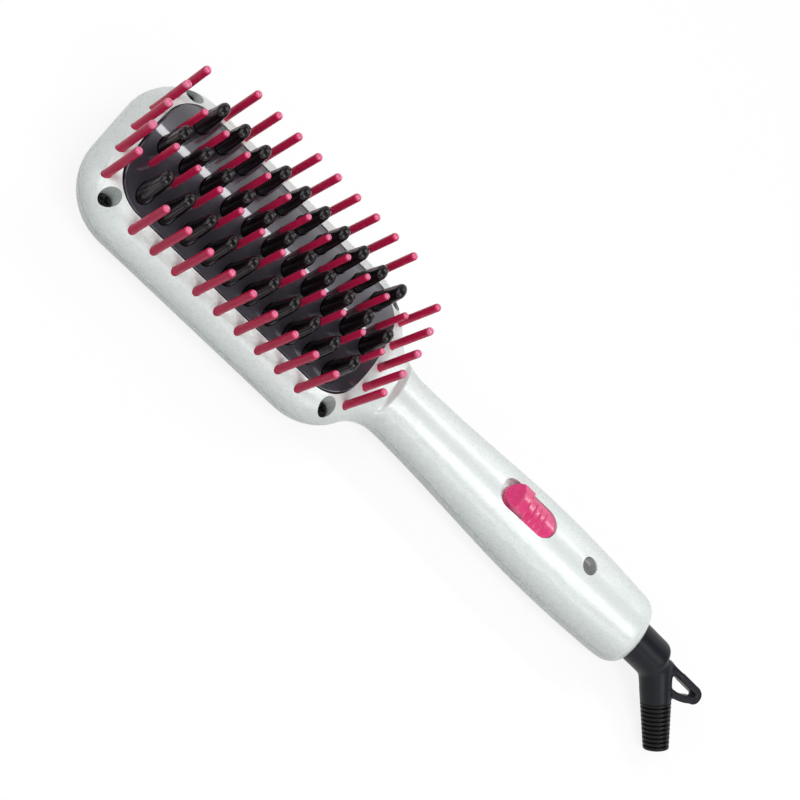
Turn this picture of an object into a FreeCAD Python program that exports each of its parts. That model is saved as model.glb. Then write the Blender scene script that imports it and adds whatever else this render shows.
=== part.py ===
import FreeCAD, Part
import Sketcher
import math
import os

from FreeCAD import Placement, Rotation, Vector

# Hair straightening brush, lying on its back: +X runs from the head to the cord end, +Z along the bristles.
# The origin is on the flat of the back, below the middle of the bristle field.

doc = FreeCAD.newDocument("hair_straightening_brush")
sheet = doc.addObject("Spreadsheet::Sheet", "sizes")

DRIVING_SIZES = {
    # Bristle field
    "pitch": 8.0,
    "middle_count": 11,
    "tooth_row_count": 10,
    "side_count": 9,
    "end_count": 5,
    "row_spacing": 7.2,
    "end_pin_spacing": 8.5,
    "end_row_bow": 2.2,
    "pin_radius": 1.25,
    "inner_pin_radius": 1.03,
    "pin_length": 19.6,
    "inner_pin_tip": 26.6,
    "pin_head_radius": 1.6,
    "pin_head_height": 0.8,
    "pin_clearance": 0.1,
    # Teeth
    "tooth_half_width": 2.5,
    "tooth_stretch": 1.5,
    "tooth_tip_height": 24.0,
    "tooth_tip_radius": 1.8,
    "tooth_bulge": 0.2,
    "tooth_clearance": 0.12,
    # Comb plate
    "plate_end_margin": 5.0,
    "plate_side_margin": 5.8,
    "plate_corner": 10.8,
    "plate_bow": 0.5,
    "plate_wall": 2.0,
    "skirt_wall": 1.2,
    "plate_edge_height": 9.4,
    "plate_crown": 3.0,
    "plate_gap": 0.45,
    "plate_flange": 1.2,
    "plate_flange_thickness": 1.4,
    "plate_edge_round": 0.3,
    # Casing
    "wall": 2.0,
    "hollow_blunt": 0.6,
    "outline_blunt": 0.2,
    "rim_width": 8.0,
    "tip_width": 8.6,
    "side_pin_inset": 4.4,
    "end_pin_inset": 4.6,
    "tip_corner": 19.0,
    "tip_roll": 16.0,
    "head_fullness": 0.26,
    "back_fullness": 0.22,
    "crest_height": 12.2,
    "back_depth": 12.6,
    "foot_flat": 0.6,
    "shoulder_radius": 21.5,
    "shoulder_setback": 21.1,
    "neck_reach": 10.4,
    "neck_half_width": 11.1,
    "neck_height": 9.8,
    "neck_depth": 10.8,
    "grip_length": 70.4,
    "belly_half_width": 14.3,
    "belly_height": 12.4,
    "belly_depth": 12.6,
    "tail_length": 43.2,
    "tail_radius": 430.0,
    "end_corner": 4.6,
    "end_roll": 6.8,
    "crescent_reach": 3.8,
    "crescent_depth": 2.7,
    "crescent_slope": 1.6,
    "seam_gap": 0.4,
    "seam_depth": 0.7,
    # Head fasteners and bristle ring
    "screw_reach": 42.2,
    "screw_spread": 21.5,
    "boss_radius": 3.5,
    "counterbore_radius": 2.7,
    "screw_head_radius": 2.45,
    "screw_head_height": 1.9,
    "screw_radius": 1.3,
    "screw_clearance": 0.25,
    "thread_clearance": 0.03,
    "head_screw_length": 6.8,
    "screw_floor": 1.2,
    "ring_thickness": 2.0,
    "ring_clearance": 0.4,
    "ring_overlap": 1.4,
    # Heater
    "heating_plate_thickness": 2.7,
    "heating_plate_drop": 2.4,
    "heating_plate_clearance": 0.3,
    "film_thickness": 0.25,
    "electrode_thickness": 0.4,
    "ptc_thickness": 2.2,
    "ptc_length": 19.5,
    "ptc_width": 14.0,
    "ptc_count": 3,
    "ptc_spacing": 20.4,
    "clamp_thickness": 1.0,
    "clamp_half_width": 10.0,
    "small_screw_radius": 1.0,
    "small_head_radius": 1.85,
    "small_head_height": 1.3,
    "post_radius": 1.9,
    "clamp_boss_radius": 2.5,
    "tab_offset": 2.8,
    "tab_width": 2.4,
    "fuse_radius": 1.8,
    "fuse_length": 11.0,
    "sensor_radius": 1.3,
    "sensor_length": 7.0,
    "fuse_offset": 13.2,
    "shield_thickness": 0.8,
    "shield_height": 8.0,
    "shield_half_width": 15.5,
    "shield_margin": 5.0,
    # Switch, board and lamp
    "switch_reach": 50.4,
    "knob_length": 20.8,
    "knob_width": 9.5,
    "knob_hump": 1.7,
    "knob_crown": 0.75,
    "knob_sink": 0.15,
    "knob_nose_drop": 1.6,
    "hump_reach": 4.4,
    "hump_length": 3.4,
    "hump_fall": 0.7,
    "rib_reach": 11.4,
    "rib_spacing": 2.2,
    "rib_count": 3,
    "rib_width": 0.5,
    "rib_height": 0.2,
    "rib_length": 6.4,
    "knob_travel": 2.6,
    "knob_clearance": 0.2,
    "recess_depth": 3.6,
    "recess_floor": 1.4,
    "recess_wall": 1.7,
    "stem_length": 8.0,
    "stem_width": 4.4,
    "lever_length": 3.4,
    "lever_width": 2.4,
    "switch_length": 14.0,
    "switch_width": 7.0,
    "switch_height": 4.6,
    "board_thickness": 1.6,
    "board_width": 15.0,
    "board_start": 22.0,
    "board_length": 59.5,
    "board_corner": 1.5,
    "board_post_radius": 2.8,
    "lamp_reach": 79.0,
    "lamp_radius": 2.85,
    "lamp_recess": 0.2,
    "lens_radius": 7.0,
    "lamp_tube_wall": 1.3,
    "led_radius": 1.5,
    "led_height": 4.6,
    "neck_screw_reach": 14.0,
    "tail_screw_setback": 28.1,
    "handle_screw_seat": 4.0,
    "handle_screw_length": 14.0,
    # Swivel and cord outlet
    "collar_radius": 7.0,
    "running_clearance": 0.08,
    "end_block": 8.1,
    "flange_slot": 3.0,
    "flange_radius": 9.2,
    "flange_play": 0.3,
    "bulkhead": 3.0,
    "spigot_radius": 4.2,
    "slip_ring_radius": 6.0,
    "slip_ring_width": 1.5,
    "slip_ring_spacing": 2.8,
    "spigot_length": 6.4,
    "contact_thickness": 0.4,
    "contact_height": 3.0,
    "contact_gap": 0.1,
    "contact_step": 0.9,
    "holder_thickness": 3.0,
    "elbow_reach": 13.2,
    "elbow_angle": 46.0,
    "elbow_roll": 20.0,
    "collar_overrun": 0.6,
    "collar_round": 1.2,
    "relief_root_radius": 5.9,
    "relief_tip_radius": 4.3,
    "relief_length": 29.5,
    "relief_split": 14.0,
    "relief_plug": 5.0,
    "relief_plug_radius": 3.7,
    "cord_radius": 2.9,
    "channel_clearance": 0.25,
    "groove_count": 10,
    "groove_pitch": 1.45,
    "groove_width": 0.75,
    "groove_depth": 1.0,
    "groove_sweep": 245.0,
    "groove_turn": -60.0,
    "loop_band": 2.5,
    "loop_depth": 4.4,
    "loop_reach": 17.4,
    "loop_leg_offset": 1.45,
    "loop_nose_radius": 1.8,
    "loop_return": 7.8,
    "loop_sag": 2.75,
    "loop_bulge": 0.6,
    "wire_radius": 0.9,
}

for row, (name, value) in enumerate(DRIVING_SIZES.items(), start=1):
    sheet.set(f"A{row}", name)
    sheet.set(f"B{row}", str(value))
    sheet.setAlias(f"B{row}", name)
doc.recompute()


def size(name):
    return float(sheet.get(name))


def amount(expression):
    return float(sheet.evalExpression(expression))


# Height of tools that cut right through a cover
through = 40.0

# Derived lengths, written as expressions on the sheet so that bound objects and this code share them
seam = "(sizes.back_depth - sizes.foot_flat)"
tooth_row = "(2 * sizes.row_spacing)"
plate_half_length = "((sizes.middle_count - 1) / 2 * sizes.pitch + sizes.plate_end_margin)"
plate_half_width = f"({tooth_row} + sizes.plate_side_margin)"
head_half_width = f"({plate_half_width} + sizes.rim_width)"
head_half_length = f"({plate_half_length} + sizes.tip_width)"
side_row = f"({head_half_width} - sizes.side_pin_inset)"
end_row = f"({head_half_length} - sizes.end_pin_inset)"
shoulder_start = f"({head_half_length} - sizes.shoulder_setback)"
neck_x = f"({head_half_length} + sizes.neck_reach)"
belly_x = f"({neck_x} + sizes.grip_length)"
handle_end = f"({belly_x} + sizes.tail_length)"
crescent_x = f"({head_half_length} + sizes.crescent_reach)"

ring_top = f"({seam} + sizes.ring_thickness / 2)"
ring_bottom = f"({seam} - sizes.ring_thickness / 2)"
screw_seat = f"({ring_top} + sizes.screw_floor)"
plate_edge = f"({seam} + sizes.plate_edge_height)"
plate_crest = f"({plate_edge} + sizes.plate_crown)"
tooth_tip = f"({seam} + sizes.tooth_tip_height)"
heating_top = f"({plate_edge} - sizes.heating_plate_drop)"
heating_bottom = f"({heating_top} - sizes.heating_plate_thickness)"
upper_film_z = f"({heating_bottom} - sizes.film_thickness)"
upper_electrode_z = f"({upper_film_z} - sizes.electrode_thickness)"
ptc_z = f"({upper_electrode_z} - sizes.ptc_thickness)"
lower_electrode_z = f"({ptc_z} - sizes.electrode_thickness)"
lower_film_z = f"({lower_electrode_z} - sizes.film_thickness)"
clamp_z = f"({lower_film_z} - sizes.clamp_thickness)"
stack_half_length = "((sizes.ptc_count - 1) / 2 * sizes.ptc_spacing + sizes.ptc_length / 2)"

switch_x = f"({neck_x} + sizes.switch_reach)"
knob_x = f"({switch_x} + sizes.knob_travel / 2)"
recess_length = "(sizes.knob_length + sizes.knob_travel + 2 * sizes.knob_clearance)"
recess_width = "(sizes.knob_width + 2 * sizes.knob_clearance)"
board_x = f"({neck_x} + sizes.board_start)"
board_z = f"({seam} - sizes.board_thickness)"
board_end = f"({board_x} + sizes.board_length)"
lamp_x = f"({neck_x} + sizes.lamp_reach)"
neck_screw_x = f"({neck_x} + sizes.neck_screw_reach)"
tail_screw_x = f"({handle_end} - sizes.tail_screw_setback)"
block_face = f"({handle_end} - sizes.end_block)"
bulkhead_face = f"({block_face} - sizes.flange_slot)"
bulkhead_back = f"({bulkhead_face} - sizes.bulkhead)"
elbow_x = f"({handle_end} + sizes.elbow_reach)"


# Shape of the casing

def blend(start, stop, position):
    share = min(max((position - start) / (stop - start), 0.0), 1.0)
    return share * share * (3.0 - 2.0 * share)


def rounding(radius, depth):
    """Share of full height reached at a depth inside an elliptical end of that radius."""
    if depth >= radius:
        return 1.0
    return math.sqrt(max(1.0 - ((radius - depth) / radius) ** 2, 0.0))


def plan_half_width(x, inset):
    full = amount(head_half_width)
    start = amount(shoulder_start)
    neck = amount(neck_x)
    belly = amount(belly_x)
    fall = full - size("neck_half_width")
    run = neck - start
    turn = 2.0 * math.atan2(fall, run)
    convex = size("shoulder_radius")
    concave = run / math.sin(turn) - convex
    if x <= start:
        width = full
    elif x <= start + convex * math.sin(turn):
        width = full - convex + math.sqrt(convex ** 2 - (x - start) ** 2)
    elif x <= neck:
        width = size("neck_half_width") + concave - math.sqrt(concave ** 2 - (neck - x) ** 2)
    elif x <= belly:
        swell = size("belly_half_width") - size("neck_half_width")
        width = size("neck_half_width") + swell * blend(neck, belly, x)
    else:
        width = size("belly_half_width") - (x - belly) ** 2 / (2.0 * size("tail_radius"))
    width -= inset
    corner = size("tip_corner") - inset
    width -= corner * (1.0 - rounding(corner, x + amount(head_half_length) - inset))
    corner = size("end_corner") - inset
    width -= corner * (1.0 - rounding(corner, amount(handle_end) - inset - x))
    return width


def crest(x, inset, upper):
    """Height of the upper crest above the seam, or depth of the back below it, at a station."""
    names = ("crest_height", "neck_height", "belly_height")
    if not upper:
        names = ("back_depth", "neck_depth", "belly_depth")
    head, neck, belly = (size(name) for name in names)
    fall_start = amount(plate_half_length) - size("tip_width")
    height = head + (neck - head) * blend(fall_start, amount(neck_x), x)
    height += (belly - neck) * blend(amount(neck_x), amount(lamp_x), x)
    height -= inset
    height *= rounding(size("tip_roll") - inset, x + amount(head_half_length) - inset)
    height *= rounding(size("end_roll") - inset, amount(handle_end) - inset - x)
    return height


def neck_dip(x):
    """The head's face falls away before the neck and meets the grip at a short crescent wall."""
    fall_start = amount(plate_half_length) - size("tip_width")
    fall_stop = amount(end_row) + size("end_row_bow")
    wall_start = amount(crescent_x) - size("crescent_slope") / 2
    wall_stop = amount(crescent_x) + size("crescent_slope") / 2
    return size("crescent_depth") * blend(fall_start, fall_stop,
                                          x) * (1.0 - blend(wall_start, wall_stop, x))


def fullness(x, upper):
    """Share by which the head's sides stand out from a plain oval section; it fades towards the neck."""
    name = "head_fullness" if upper else "back_fullness"
    fall_start = amount(plate_half_length) - size("tip_width")
    return size(name) * (1.0 - blend(fall_start, amount(neck_x), x))


def section(x, inset, upper):
    """Crest height, neck dip and fullness of the cross section at a station."""
    dip = neck_dip(x) if upper else 0.0
    return crest(x, inset, upper), dip, fullness(x, upper)


def section_height(shape, across, rise):
    """Height of a section where a plain oval of half width and height one is at across and rise."""
    height, dip, full = shape
    return rise * (height - dip * rise ** 2) * (1.0 + full * across ** 2)


def face_height(x, y, inset=0.0):
    """Height of the upper casing above the seam."""
    across = min(abs(y) / plan_half_width(x, inset), 1.0)
    return section_height(section(x, inset, True), across, math.sqrt(1.0 - across ** 2))


def stations(inset, blunt):
    """Places along X where the casing's sections stand, closer together where the outline turns."""
    tip = -amount(head_half_length) + inset
    end = amount(handle_end) - inset
    corner = size("tip_corner") - inset
    roll = size("end_roll") - inset
    wall_start = amount(crescent_x) - size("crescent_slope")
    wall_stop = amount(crescent_x) + size("crescent_slope")
    places = [tip + corner * (1.0 - math.cos(math.pi / 2 * step / 12)) for step in range(12)]
    spans = (
        (tip + corner, amount(shoulder_start), 9),
        (amount(shoulder_start), wall_start, 16),
        (wall_start, wall_stop, 8),
        (wall_stop, amount(neck_x) + 4.0, 5),
        (amount(neck_x) + 4.0, end - roll, 18),
    )
    for start, stop, steps in spans:
        places += [start + (stop - start) * step / steps for step in range(steps)]
    places += [end - roll * (1.0 - math.sin(math.pi / 2 * step / 9)) for step in range(10)]
    first = tip + blunt
    last = end - blunt
    return [first] + [place for place in places if first + 0.1 < place < last - 0.1] + [last]


def spline_through(points, parameters):
    curve = Part.BSplineCurve()
    curve.interpolate(Points=points, Parameters=parameters)
    return curve


def half_casing(name, inset, upper, blunt=0.0):
    """Half of the casing's form above or below the seam, set in by a distance and blunted at its ends."""
    section_steps = 24
    seam_height = amount(seam)
    side = 1.0 if upper else -1.0
    angles = [math.pi * step / section_steps for step in range(section_steps + 1)]
    sections = []
    travel = [0.0]
    for x in stations(inset, blunt):
        width = plan_half_width(x, inset)
        shape = section(x, inset, upper)
        corner = Vector(x, width, shape[0])
        if sections:
            travel.append(travel[-1] + (corner - last_corner).Length)
        last_corner = corner
        points = []
        for step, angle in enumerate(angles):
            across = math.cos(angle)
            rise = math.sin(angle) if 0 < step < section_steps else 0.0
            height = side * section_height(shape, across, rise)
            points.append(Vector(x, width * across, seam_height + height))
        sections.append(spline_through(points, angles))
    rows = [curve.getPoles() for curve in sections]
    columns = [spline_through(list(column), travel) for column in zip(*rows)]
    poles = [list(row) for row in zip(*(curve.getPoles() for curve in columns))]
    along = columns[0]
    ring = sections[0]
    surface = Part.BSplineSurface()
    surface.buildFromPolesMultsKnots(poles, along.getMultiplicities(), ring.getMultiplicities(),
                                     along.getKnots(), ring.getKnots(), False, False,
                                     along.Degree, ring.Degree)
    skin = surface.toShape()
    rim = []
    faces = [skin]
    for edge in skin.Edges:
        start, stop = (vertex.Point for vertex in edge.Vertexes)
        if blunt > 0 and abs(start.x - stop.x) < 1e-6:
            line = Part.makeLine(start, stop)
            faces.append(Part.Face(Part.Wire([edge, line])))
            edge = line
        rim.append(edge)
    faces.append(Part.Face(Part.Wire(Part.__sortEdges__(rim))))
    shell = Part.Shell(faces)
    shell.sewShape()
    solid = Part.Solid(shell)
    if solid.Volume < 0:
        solid.reverse()
    return feature(name, solid)


# Document helpers

def bind(item, expressions):
    for path, expression in expressions.items():
        item.setExpression(path, str(expression))


def box(name, length, width, height, x, y, z):
    """A box centred on x and y, standing on z."""
    item = doc.addObject("Part::Box", name)
    places = {"Placement.Base.x": f"{x} - ({length}) / 2", "Placement.Base.y": f"{y} - ({width}) / 2"}
    bind(item, {"Length": length, "Width": width, "Height": height, "Placement.Base.z": z, **places})
    return item


def post(name, radius, height, x, y, z):
    item = doc.addObject("Part::Cylinder", name)
    places = {"Placement.Base.x": x, "Placement.Base.y": y, "Placement.Base.z": z}
    bind(item, {"Radius": radius, "Height": height, **places})
    return item


def rod(name, radius, length, x, y, z):
    """A cylinder along +X from x."""
    item = doc.addObject("Part::Cylinder", name)
    item.Placement = Placement(Vector(), Rotation(Vector(0, 1, 0), 90))
    places = {"Placement.Base.x": x, "Placement.Base.y": y, "Placement.Base.z": z}
    bind(item, {"Radius": radius, "Height": length, **places})
    return item


def joined(name, items):
    if len(items) == 1:
        return items[0]
    item = doc.addObject("Part::MultiFuse", name)
    item.Shapes = items
    return item


def cut(name, base, tool):
    item = doc.addObject("Part::Cut", name)
    item.Base = base
    item.Tool = tool
    return item


def common(name, base, tool):
    item = doc.addObject("Part::Common", name)
    item.Base = base
    item.Tool = tool
    return item


def feature(name, shape):
    item = doc.addObject("Part::Feature", name)
    item.Shape = shape
    return item


def new_body(name):
    return doc.addObject("PartDesign::Body", name)


def new_sketch(body, name, role, offset=None):
    sketch = body.newObject("Sketcher::SketchObject", name)
    plane = [item for item in body.Origin.OriginFeatures if item.Role == role][0]
    sketch.AttachmentSupport = [(plane, "")]
    sketch.MapMode = "FlatFace"
    if offset is not None:
        sketch.setExpression("AttachmentOffset.Base.z", offset)
    return sketch


def pin_point(sketch, geometry, position, x, y):
    """Bind a sketch point to the sheet."""
    for kind, expression in (("DistanceX", x), ("DistanceY", y)):
        rule = Sketcher.Constraint(kind, -1, 1, geometry, position, amount(expression))
        index = sketch.addConstraint(rule)
        sketch.setExpression(f"Constraints[{index}]", expression)


def polygon(sketch, corners):
    """A closed outline of straight lines through corners given as expressions."""
    points = [Vector(amount(x), amount(y), 0) for x, y in corners]
    first = sketch.GeometryCount
    count = len(points)
    for index in range(count):
        sketch.addGeometry(Part.LineSegment(points[index], points[(index + 1) % count]), False)
    for index in range(count):
        following = first + (index + 1) % count
        sketch.addConstraint(Sketcher.Constraint("Coincident", first + index, 2, following, 1))
        pin_point(sketch, first + index, 1, *corners[index])


def circles(sketch, spots, radius):
    for x, y in spots:
        centre = Vector(amount(x), amount(y), 0)
        geometry = sketch.addGeometry(Part.Circle(centre, Vector(0, 0, 1), amount(radius)), False)
        pin_point(sketch, geometry, 3, x, y)
        index = sketch.addConstraint(Sketcher.Constraint("Radius", geometry, amount(radius)))
        sketch.setExpression(f"Constraints[{index}]", radius)


def pad(body, sketch, length):
    item = body.newObject("PartDesign::Pad", f"{body.Name}_pad")
    item.Profile = sketch
    item.setExpression("Length", length)
    sketch.Visibility = False
    doc.recompute()
    return item


def revolve(body, sketch, axis):
    item = body.newObject("PartDesign::Revolution", f"{body.Name}_revolution")
    item.Profile = sketch
    item.ReferenceAxis = (sketch, [axis])
    item.Angle = 360.0
    doc.recompute()
    return item


def pierce(body, name, spots, radius, depth, z):
    """Round holes sunk from z, downwards by the depth."""
    before = body.Shape.Volume
    sketch = new_sketch(body, f"{name}_sketch", "XY_Plane", z)
    circles(sketch, spots, radius)
    item = body.newObject("PartDesign::Pocket", name)
    item.Profile = sketch
    item.setExpression("Length", depth)
    doc.recompute()
    if body.Shape.Volume > before - 1e-6:
        item.Reversed = True
        doc.recompute()
    return item


def round_edges(body, name, wanted, radius):
    """Fillet those edges of the body's tip that the test picks."""
    tip = body.Tip
    names = [f"Edge{index}" for index, edge in enumerate(tip.Shape.Edges, start=1) if wanted(edge)]
    item = body.newObject("PartDesign::Fillet", name)
    item.Base = (tip, names)
    item.setExpression("Radius", radius)
    doc.recompute()
    return item


def upright(edge):
    ends = [vertex.Point for vertex in edge.Vertexes]
    if len(ends) != 2:
        return False
    return abs(ends[0].x - ends[1].x) < 1e-6 and abs(ends[0].y - ends[1].y) < 1e-6


def slab(name, half_length, half_width, z, thickness, corner=None, x="0", y="0"):
    """A flat piece centred on x and y, with rounded upright corners where a radius is given."""
    body = new_body(name)
    sketch = new_sketch(body, f"{name}_sketch", "XY_Plane", z)
    left, right = f"{x} - {half_length}", f"{x} + {half_length}"
    near, far = f"{y} - {half_width}", f"{y} + {half_width}"
    polygon(sketch, [(left, near), (right, near), (right, far), (left, far)])
    pad(body, sketch, thickness)
    if corner is not None:
        round_edges(body, f"{name}_corners", upright, corner)
    return body


def turned(name, profile, role="XZ_Plane", axis="V_Axis"):
    """A turned piece from a half profile of straight lines."""
    body = new_body(name)
    sketch = new_sketch(body, f"{name}_sketch", role)
    polygon(sketch, profile)
    revolve(body, sketch, axis)
    return body


def copies(name, shape, spots):
    return feature(name, Part.makeCompound([shape.translated(spot) for spot in spots]))


def spots_of(pairs, z="0"):
    return [Vector(amount(x), amount(y), amount(z)) for x, y in pairs]


def corner_pairs(x, y):
    return [(f"{sx} * {x}", f"{sy} * {y}") for sx in (-1, 1) for sy in (-1, 1)]


# Places of the bristles, teeth and screws

def row_places(count, y):
    middle = (amount(count) - 1) / 2
    return [Vector((index - middle) * size("pitch"), y, 0) for index in range(int(amount(count)))]


def end_places():
    places = []
    middle = (size("end_count") - 1) / 2
    for side in (-1, 1):
        for index in range(int(size("end_count"))):
            offset = index - middle
            x = side * (amount(end_row) - size("end_row_bow") * (offset / middle) ** 2)
            places.append(Vector(x, offset * size("end_pin_spacing"), 0))
    return places


tooth_places = row_places("sizes.middle_count", 0.0)
inner_places = []
outer_places = end_places()
for side in (-1, 1):
    tooth_places += row_places("sizes.tooth_row_count", side * amount(tooth_row))
    inner_places += row_places("sizes.middle_count", side * size("row_spacing"))
    outer_places += row_places("sizes.side_count", side * amount(side_row))

head_screw_pairs = corner_pairs("sizes.screw_reach", "sizes.screw_spread")
handle_screw_pairs = [(neck_screw_x, "0"), (tail_screw_x, "0")]
comb_screw_pairs = corner_pairs("(3.5 * sizes.pitch)", "sizes.row_spacing")
clamp_screw_pairs = corner_pairs("(4.5 * sizes.pitch)", "sizes.row_spacing")
shield_pairs = corner_pairs("(4.25 * sizes.pitch)", "(1.5 * sizes.row_spacing)")
board_screw_pairs = [(f"{board_x} + 5", "0"), (f"{board_x} + 41", "0")]


# Outline of the comb plate: straight sides, rounded corners and slightly bowed ends

def plate_outline(grow, z, height):
    """The plate's outline set out by a distance and raised from z."""
    corner = size("plate_corner")
    bow = size("plate_bow")
    half_width = amount(plate_half_width)
    corner_y = half_width - corner
    end_radius = (corner_y ** 2 + bow ** 2) / (2 * bow)
    end_centre = amount(plate_half_length) + bow - end_radius
    corner_x = end_centre + math.sqrt((end_radius - corner) ** 2 - corner_y ** 2)
    lean = math.atan2(corner_y, corner_x - end_centre)
    middle = (lean + math.pi / 2) / 2
    corner += grow
    end_radius += grow
    edges = []
    for side in (1, -1):
        meet = Vector(end_centre + end_radius * math.cos(lean), end_radius * math.sin(lean), z)
        turn = Vector(corner_x + corner * math.cos(middle), corner_y + corner * math.sin(middle), z)
        straight = Vector(corner_x, half_width + grow, z)
        nose = Vector(side * (end_centre + end_radius), 0, z)
        right = [Vector(side * point.x, point.y, z) for point in (meet, turn, straight)]
        left = [Vector(side * point.x, -point.y, z) for point in (meet, turn, straight)]
        edges.append(Part.Arc(left[0], nose, right[0]).toShape())
        edges.append(Part.Arc(right[0], right[1], right[2]).toShape())
        edges.append(Part.Arc(left[0], left[1], left[2]).toShape())
        edges.append(Part.makeLine(Vector(corner_x, side * straight.y, z),
                                   Vector(-corner_x, side * straight.y, z)))
    outline = Part.Wire(Part.__sortEdges__(edges))
    return Part.Face(outline).extrude(Vector(0, 0, height))


def crowned(solid, drop):
    """Trim a solid under the plate's crown, lowered by a distance."""
    half = amount(plate_half_width)
    rise = size("plate_crown")
    radius = (half ** 2 + rise ** 2) / (2 * rise)
    length = 4 * amount(plate_half_length)
    axis_start = Vector(-length / 2, 0, amount(plate_crest) - radius)
    roof = Part.makeCylinder(radius - drop, length, axis_start, Vector(1, 0, 0))
    return solid.common(roof)


def crown_height(y, drop=0.0):
    half = amount(plate_half_width)
    rise = size("plate_crown")
    radius = (half ** 2 + rise ** 2) / (2 * rise)
    return amount(plate_crest) - radius + math.sqrt((radius - drop) ** 2 - y ** 2)


# Casing

def front_cover():
    outer = half_casing("front_form", 0.0, True)
    inner = half_casing("front_hollow", size("wall"), True, size("hollow_blunt"))
    shell = cut("front_shell", outer, inner)
    tall = "(2 * sizes.crest_height)"
    additions = [post(f"front_boss_{i}", "sizes.boss_radius", tall, x, y, ring_top)
                 for i, (x, y) in enumerate(head_screw_pairs)]
    additions += [post(f"front_column_{i}", "sizes.boss_radius", tall, x, y, seam)
                  for i, (x, y) in enumerate(handle_screw_pairs)]
    tub_length = f"({recess_length} + 2 * sizes.recess_wall)"
    tub_width = f"({recess_width} + 2 * sizes.recess_wall)"
    tub_floor = f"({recess_z} - sizes.recess_floor)"
    tub = slab("switch_tub", f"{tub_length} / 2", f"{tub_width} / 2", tub_floor, tall,
               f"{tub_width} / 2 - 0.01", switch_x)
    additions.append(tub)
    additions.append(post("lamp_tube", "sizes.lamp_radius + sizes.lamp_tube_wall", tall, lamp_x, "0",
                          lamp_tube_z))
    additions += swivel_walls("front")
    inside = common("front_inside", outer, joined("front_additions", additions))
    solid = joined("front_solid", [shell, inside])
    openings = [feature("plate_opening", plate_outline(size("plate_gap"), amount(seam), through))]
    openings += [post(f"front_counterbore_{i}", "sizes.counterbore_radius", tall, x, y, screw_seat)
                 for i, (x, y) in enumerate(head_screw_pairs)]
    openings += [post(f"front_clearance_{i}", "sizes.screw_radius + sizes.screw_clearance", tall, x, y,
                      seam)
                 for i, (x, y) in enumerate(head_screw_pairs)]
    openings += [post(f"front_pilot_{i}", "sizes.screw_radius + sizes.thread_clearance", handle_pilot, x,
                      y, seam)
                 for i, (x, y) in enumerate(handle_screw_pairs)]
    openings.append(slab("switch_recess", f"{recess_length} / 2", f"{recess_width} / 2", recess_z, tall,
                         f"{recess_width} / 2 - 0.01", switch_x))
    slot_length = "(sizes.stem_length + sizes.knob_travel + 2 * sizes.knob_clearance)"
    openings.append(box("stem_slot", slot_length, "(sizes.stem_width + 2 * sizes.knob_clearance)", tall,
                        switch_x, "0", seam))
    openings.append(post("lamp_bore", "sizes.lamp_radius + sizes.pin_clearance", tall, lamp_x, "0", seam))
    openings.append(swivel_bore("front"))
    hole = Part.makeCylinder(size("pin_radius") + size("pin_clearance"), through)
    pin_holes = copies("front_pin_holes", hole, [spot + Vector(0, 0, amount(seam))
                                                 for spot in outer_places])
    openings.append(seam_groove("front_seam", 1.0))
    opened = cut("front_opened", solid, joined("front_openings", openings))
    return cut("front_cover", opened, pin_holes)


def back_cover():
    outer = half_casing("back_form", 0.0, False)
    inner = half_casing("back_hollow", size("wall"), False, size("hollow_blunt"))
    shell = cut("back_shell", outer, inner)
    deep = "(2 * sizes.back_depth)"
    low = f"({seam} - {deep})"
    additions = [post(f"back_boss_{i}", "sizes.boss_radius", f"{ring_bottom} - {low}", x, y, low)
                 for i, (x, y) in enumerate(head_screw_pairs)]
    additions += [post(f"back_column_{i}", "sizes.boss_radius", deep, x, y, low)
                  for i, (x, y) in enumerate(handle_screw_pairs)]
    additions += [post(f"shield_post_{i}", "sizes.clamp_boss_radius", f"sizes.shield_height - {low}", x, y,
                       low)
                  for i, (x, y) in enumerate(shield_pairs)]
    additions += [post(f"board_post_{i}", "sizes.board_post_radius", f"{board_z} - {low}", x, y, low)
                  for i, (x, y) in enumerate(board_screw_pairs)]
    additions.append(box("holder_rib", "sizes.holder_thickness", "sizes.board_width",
                         f"({holder_z} - {low})",
                         holder_x, "0", low))
    additions += swivel_walls("back")
    inside = common("back_inside", outer, joined("back_additions", additions))
    solid = joined("back_solid", [shell, inside])
    openings = [box("foot_cut", "(4 * " + handle_end + ")", f"(4 * {head_half_width})", deep, "0", "0",
                    f"(0 - {deep})")]
    openings += [post(f"back_pilot_{i}", "sizes.screw_radius + sizes.thread_clearance",
                      "sizes.head_screw_length",
                      x, y, f"{screw_seat} - sizes.head_screw_length - sizes.thread_clearance")
                 for i, (x, y) in enumerate(head_screw_pairs)]
    openings += [post(f"back_counterbore_{i}", "sizes.counterbore_radius",
                      "sizes.handle_screw_seat + sizes.back_depth",
                      x, y, "(0 - sizes.back_depth)") for i, (x, y) in enumerate(handle_screw_pairs)]
    openings += [post(f"back_clearance_{i}", "sizes.screw_radius + sizes.screw_clearance", deep, x, y, "0")
                 for i, (x, y) in enumerate(handle_screw_pairs)]
    openings += [post(f"board_pilot_{i}", "sizes.small_screw_radius + sizes.thread_clearance", "6", x, y,
                      f"{board_z} - 6") for i, (x, y) in enumerate(board_screw_pairs)]
    openings.append(swivel_bore("back"))
    openings.append(seam_groove("back_seam", -1.0))
    return cut("back_cover", solid, joined("back_openings", openings))


def seam_groove(name, side):
    """A fine groove all round the outside, half of it in each cover."""
    inside = half_casing(f"{name}_inside", size("seam_depth"), True, size("outline_blunt"))
    floor = [face for face in inside.Shape.Faces if face.BoundBox.ZLength < 1e-6][0]
    half_gap = size("seam_gap") / 2
    core = floor.extrude(Vector(0, 0, side * half_gap))
    length = 4 * amount(handle_end)
    width = 4 * amount(head_half_width)
    base = amount(seam) if side > 0 else amount(seam) - half_gap
    sheet_of_air = Part.makeBox(length, width, half_gap, Vector(-length / 2, -width / 2, base))
    return feature(name, sheet_of_air.cut(core))


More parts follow.
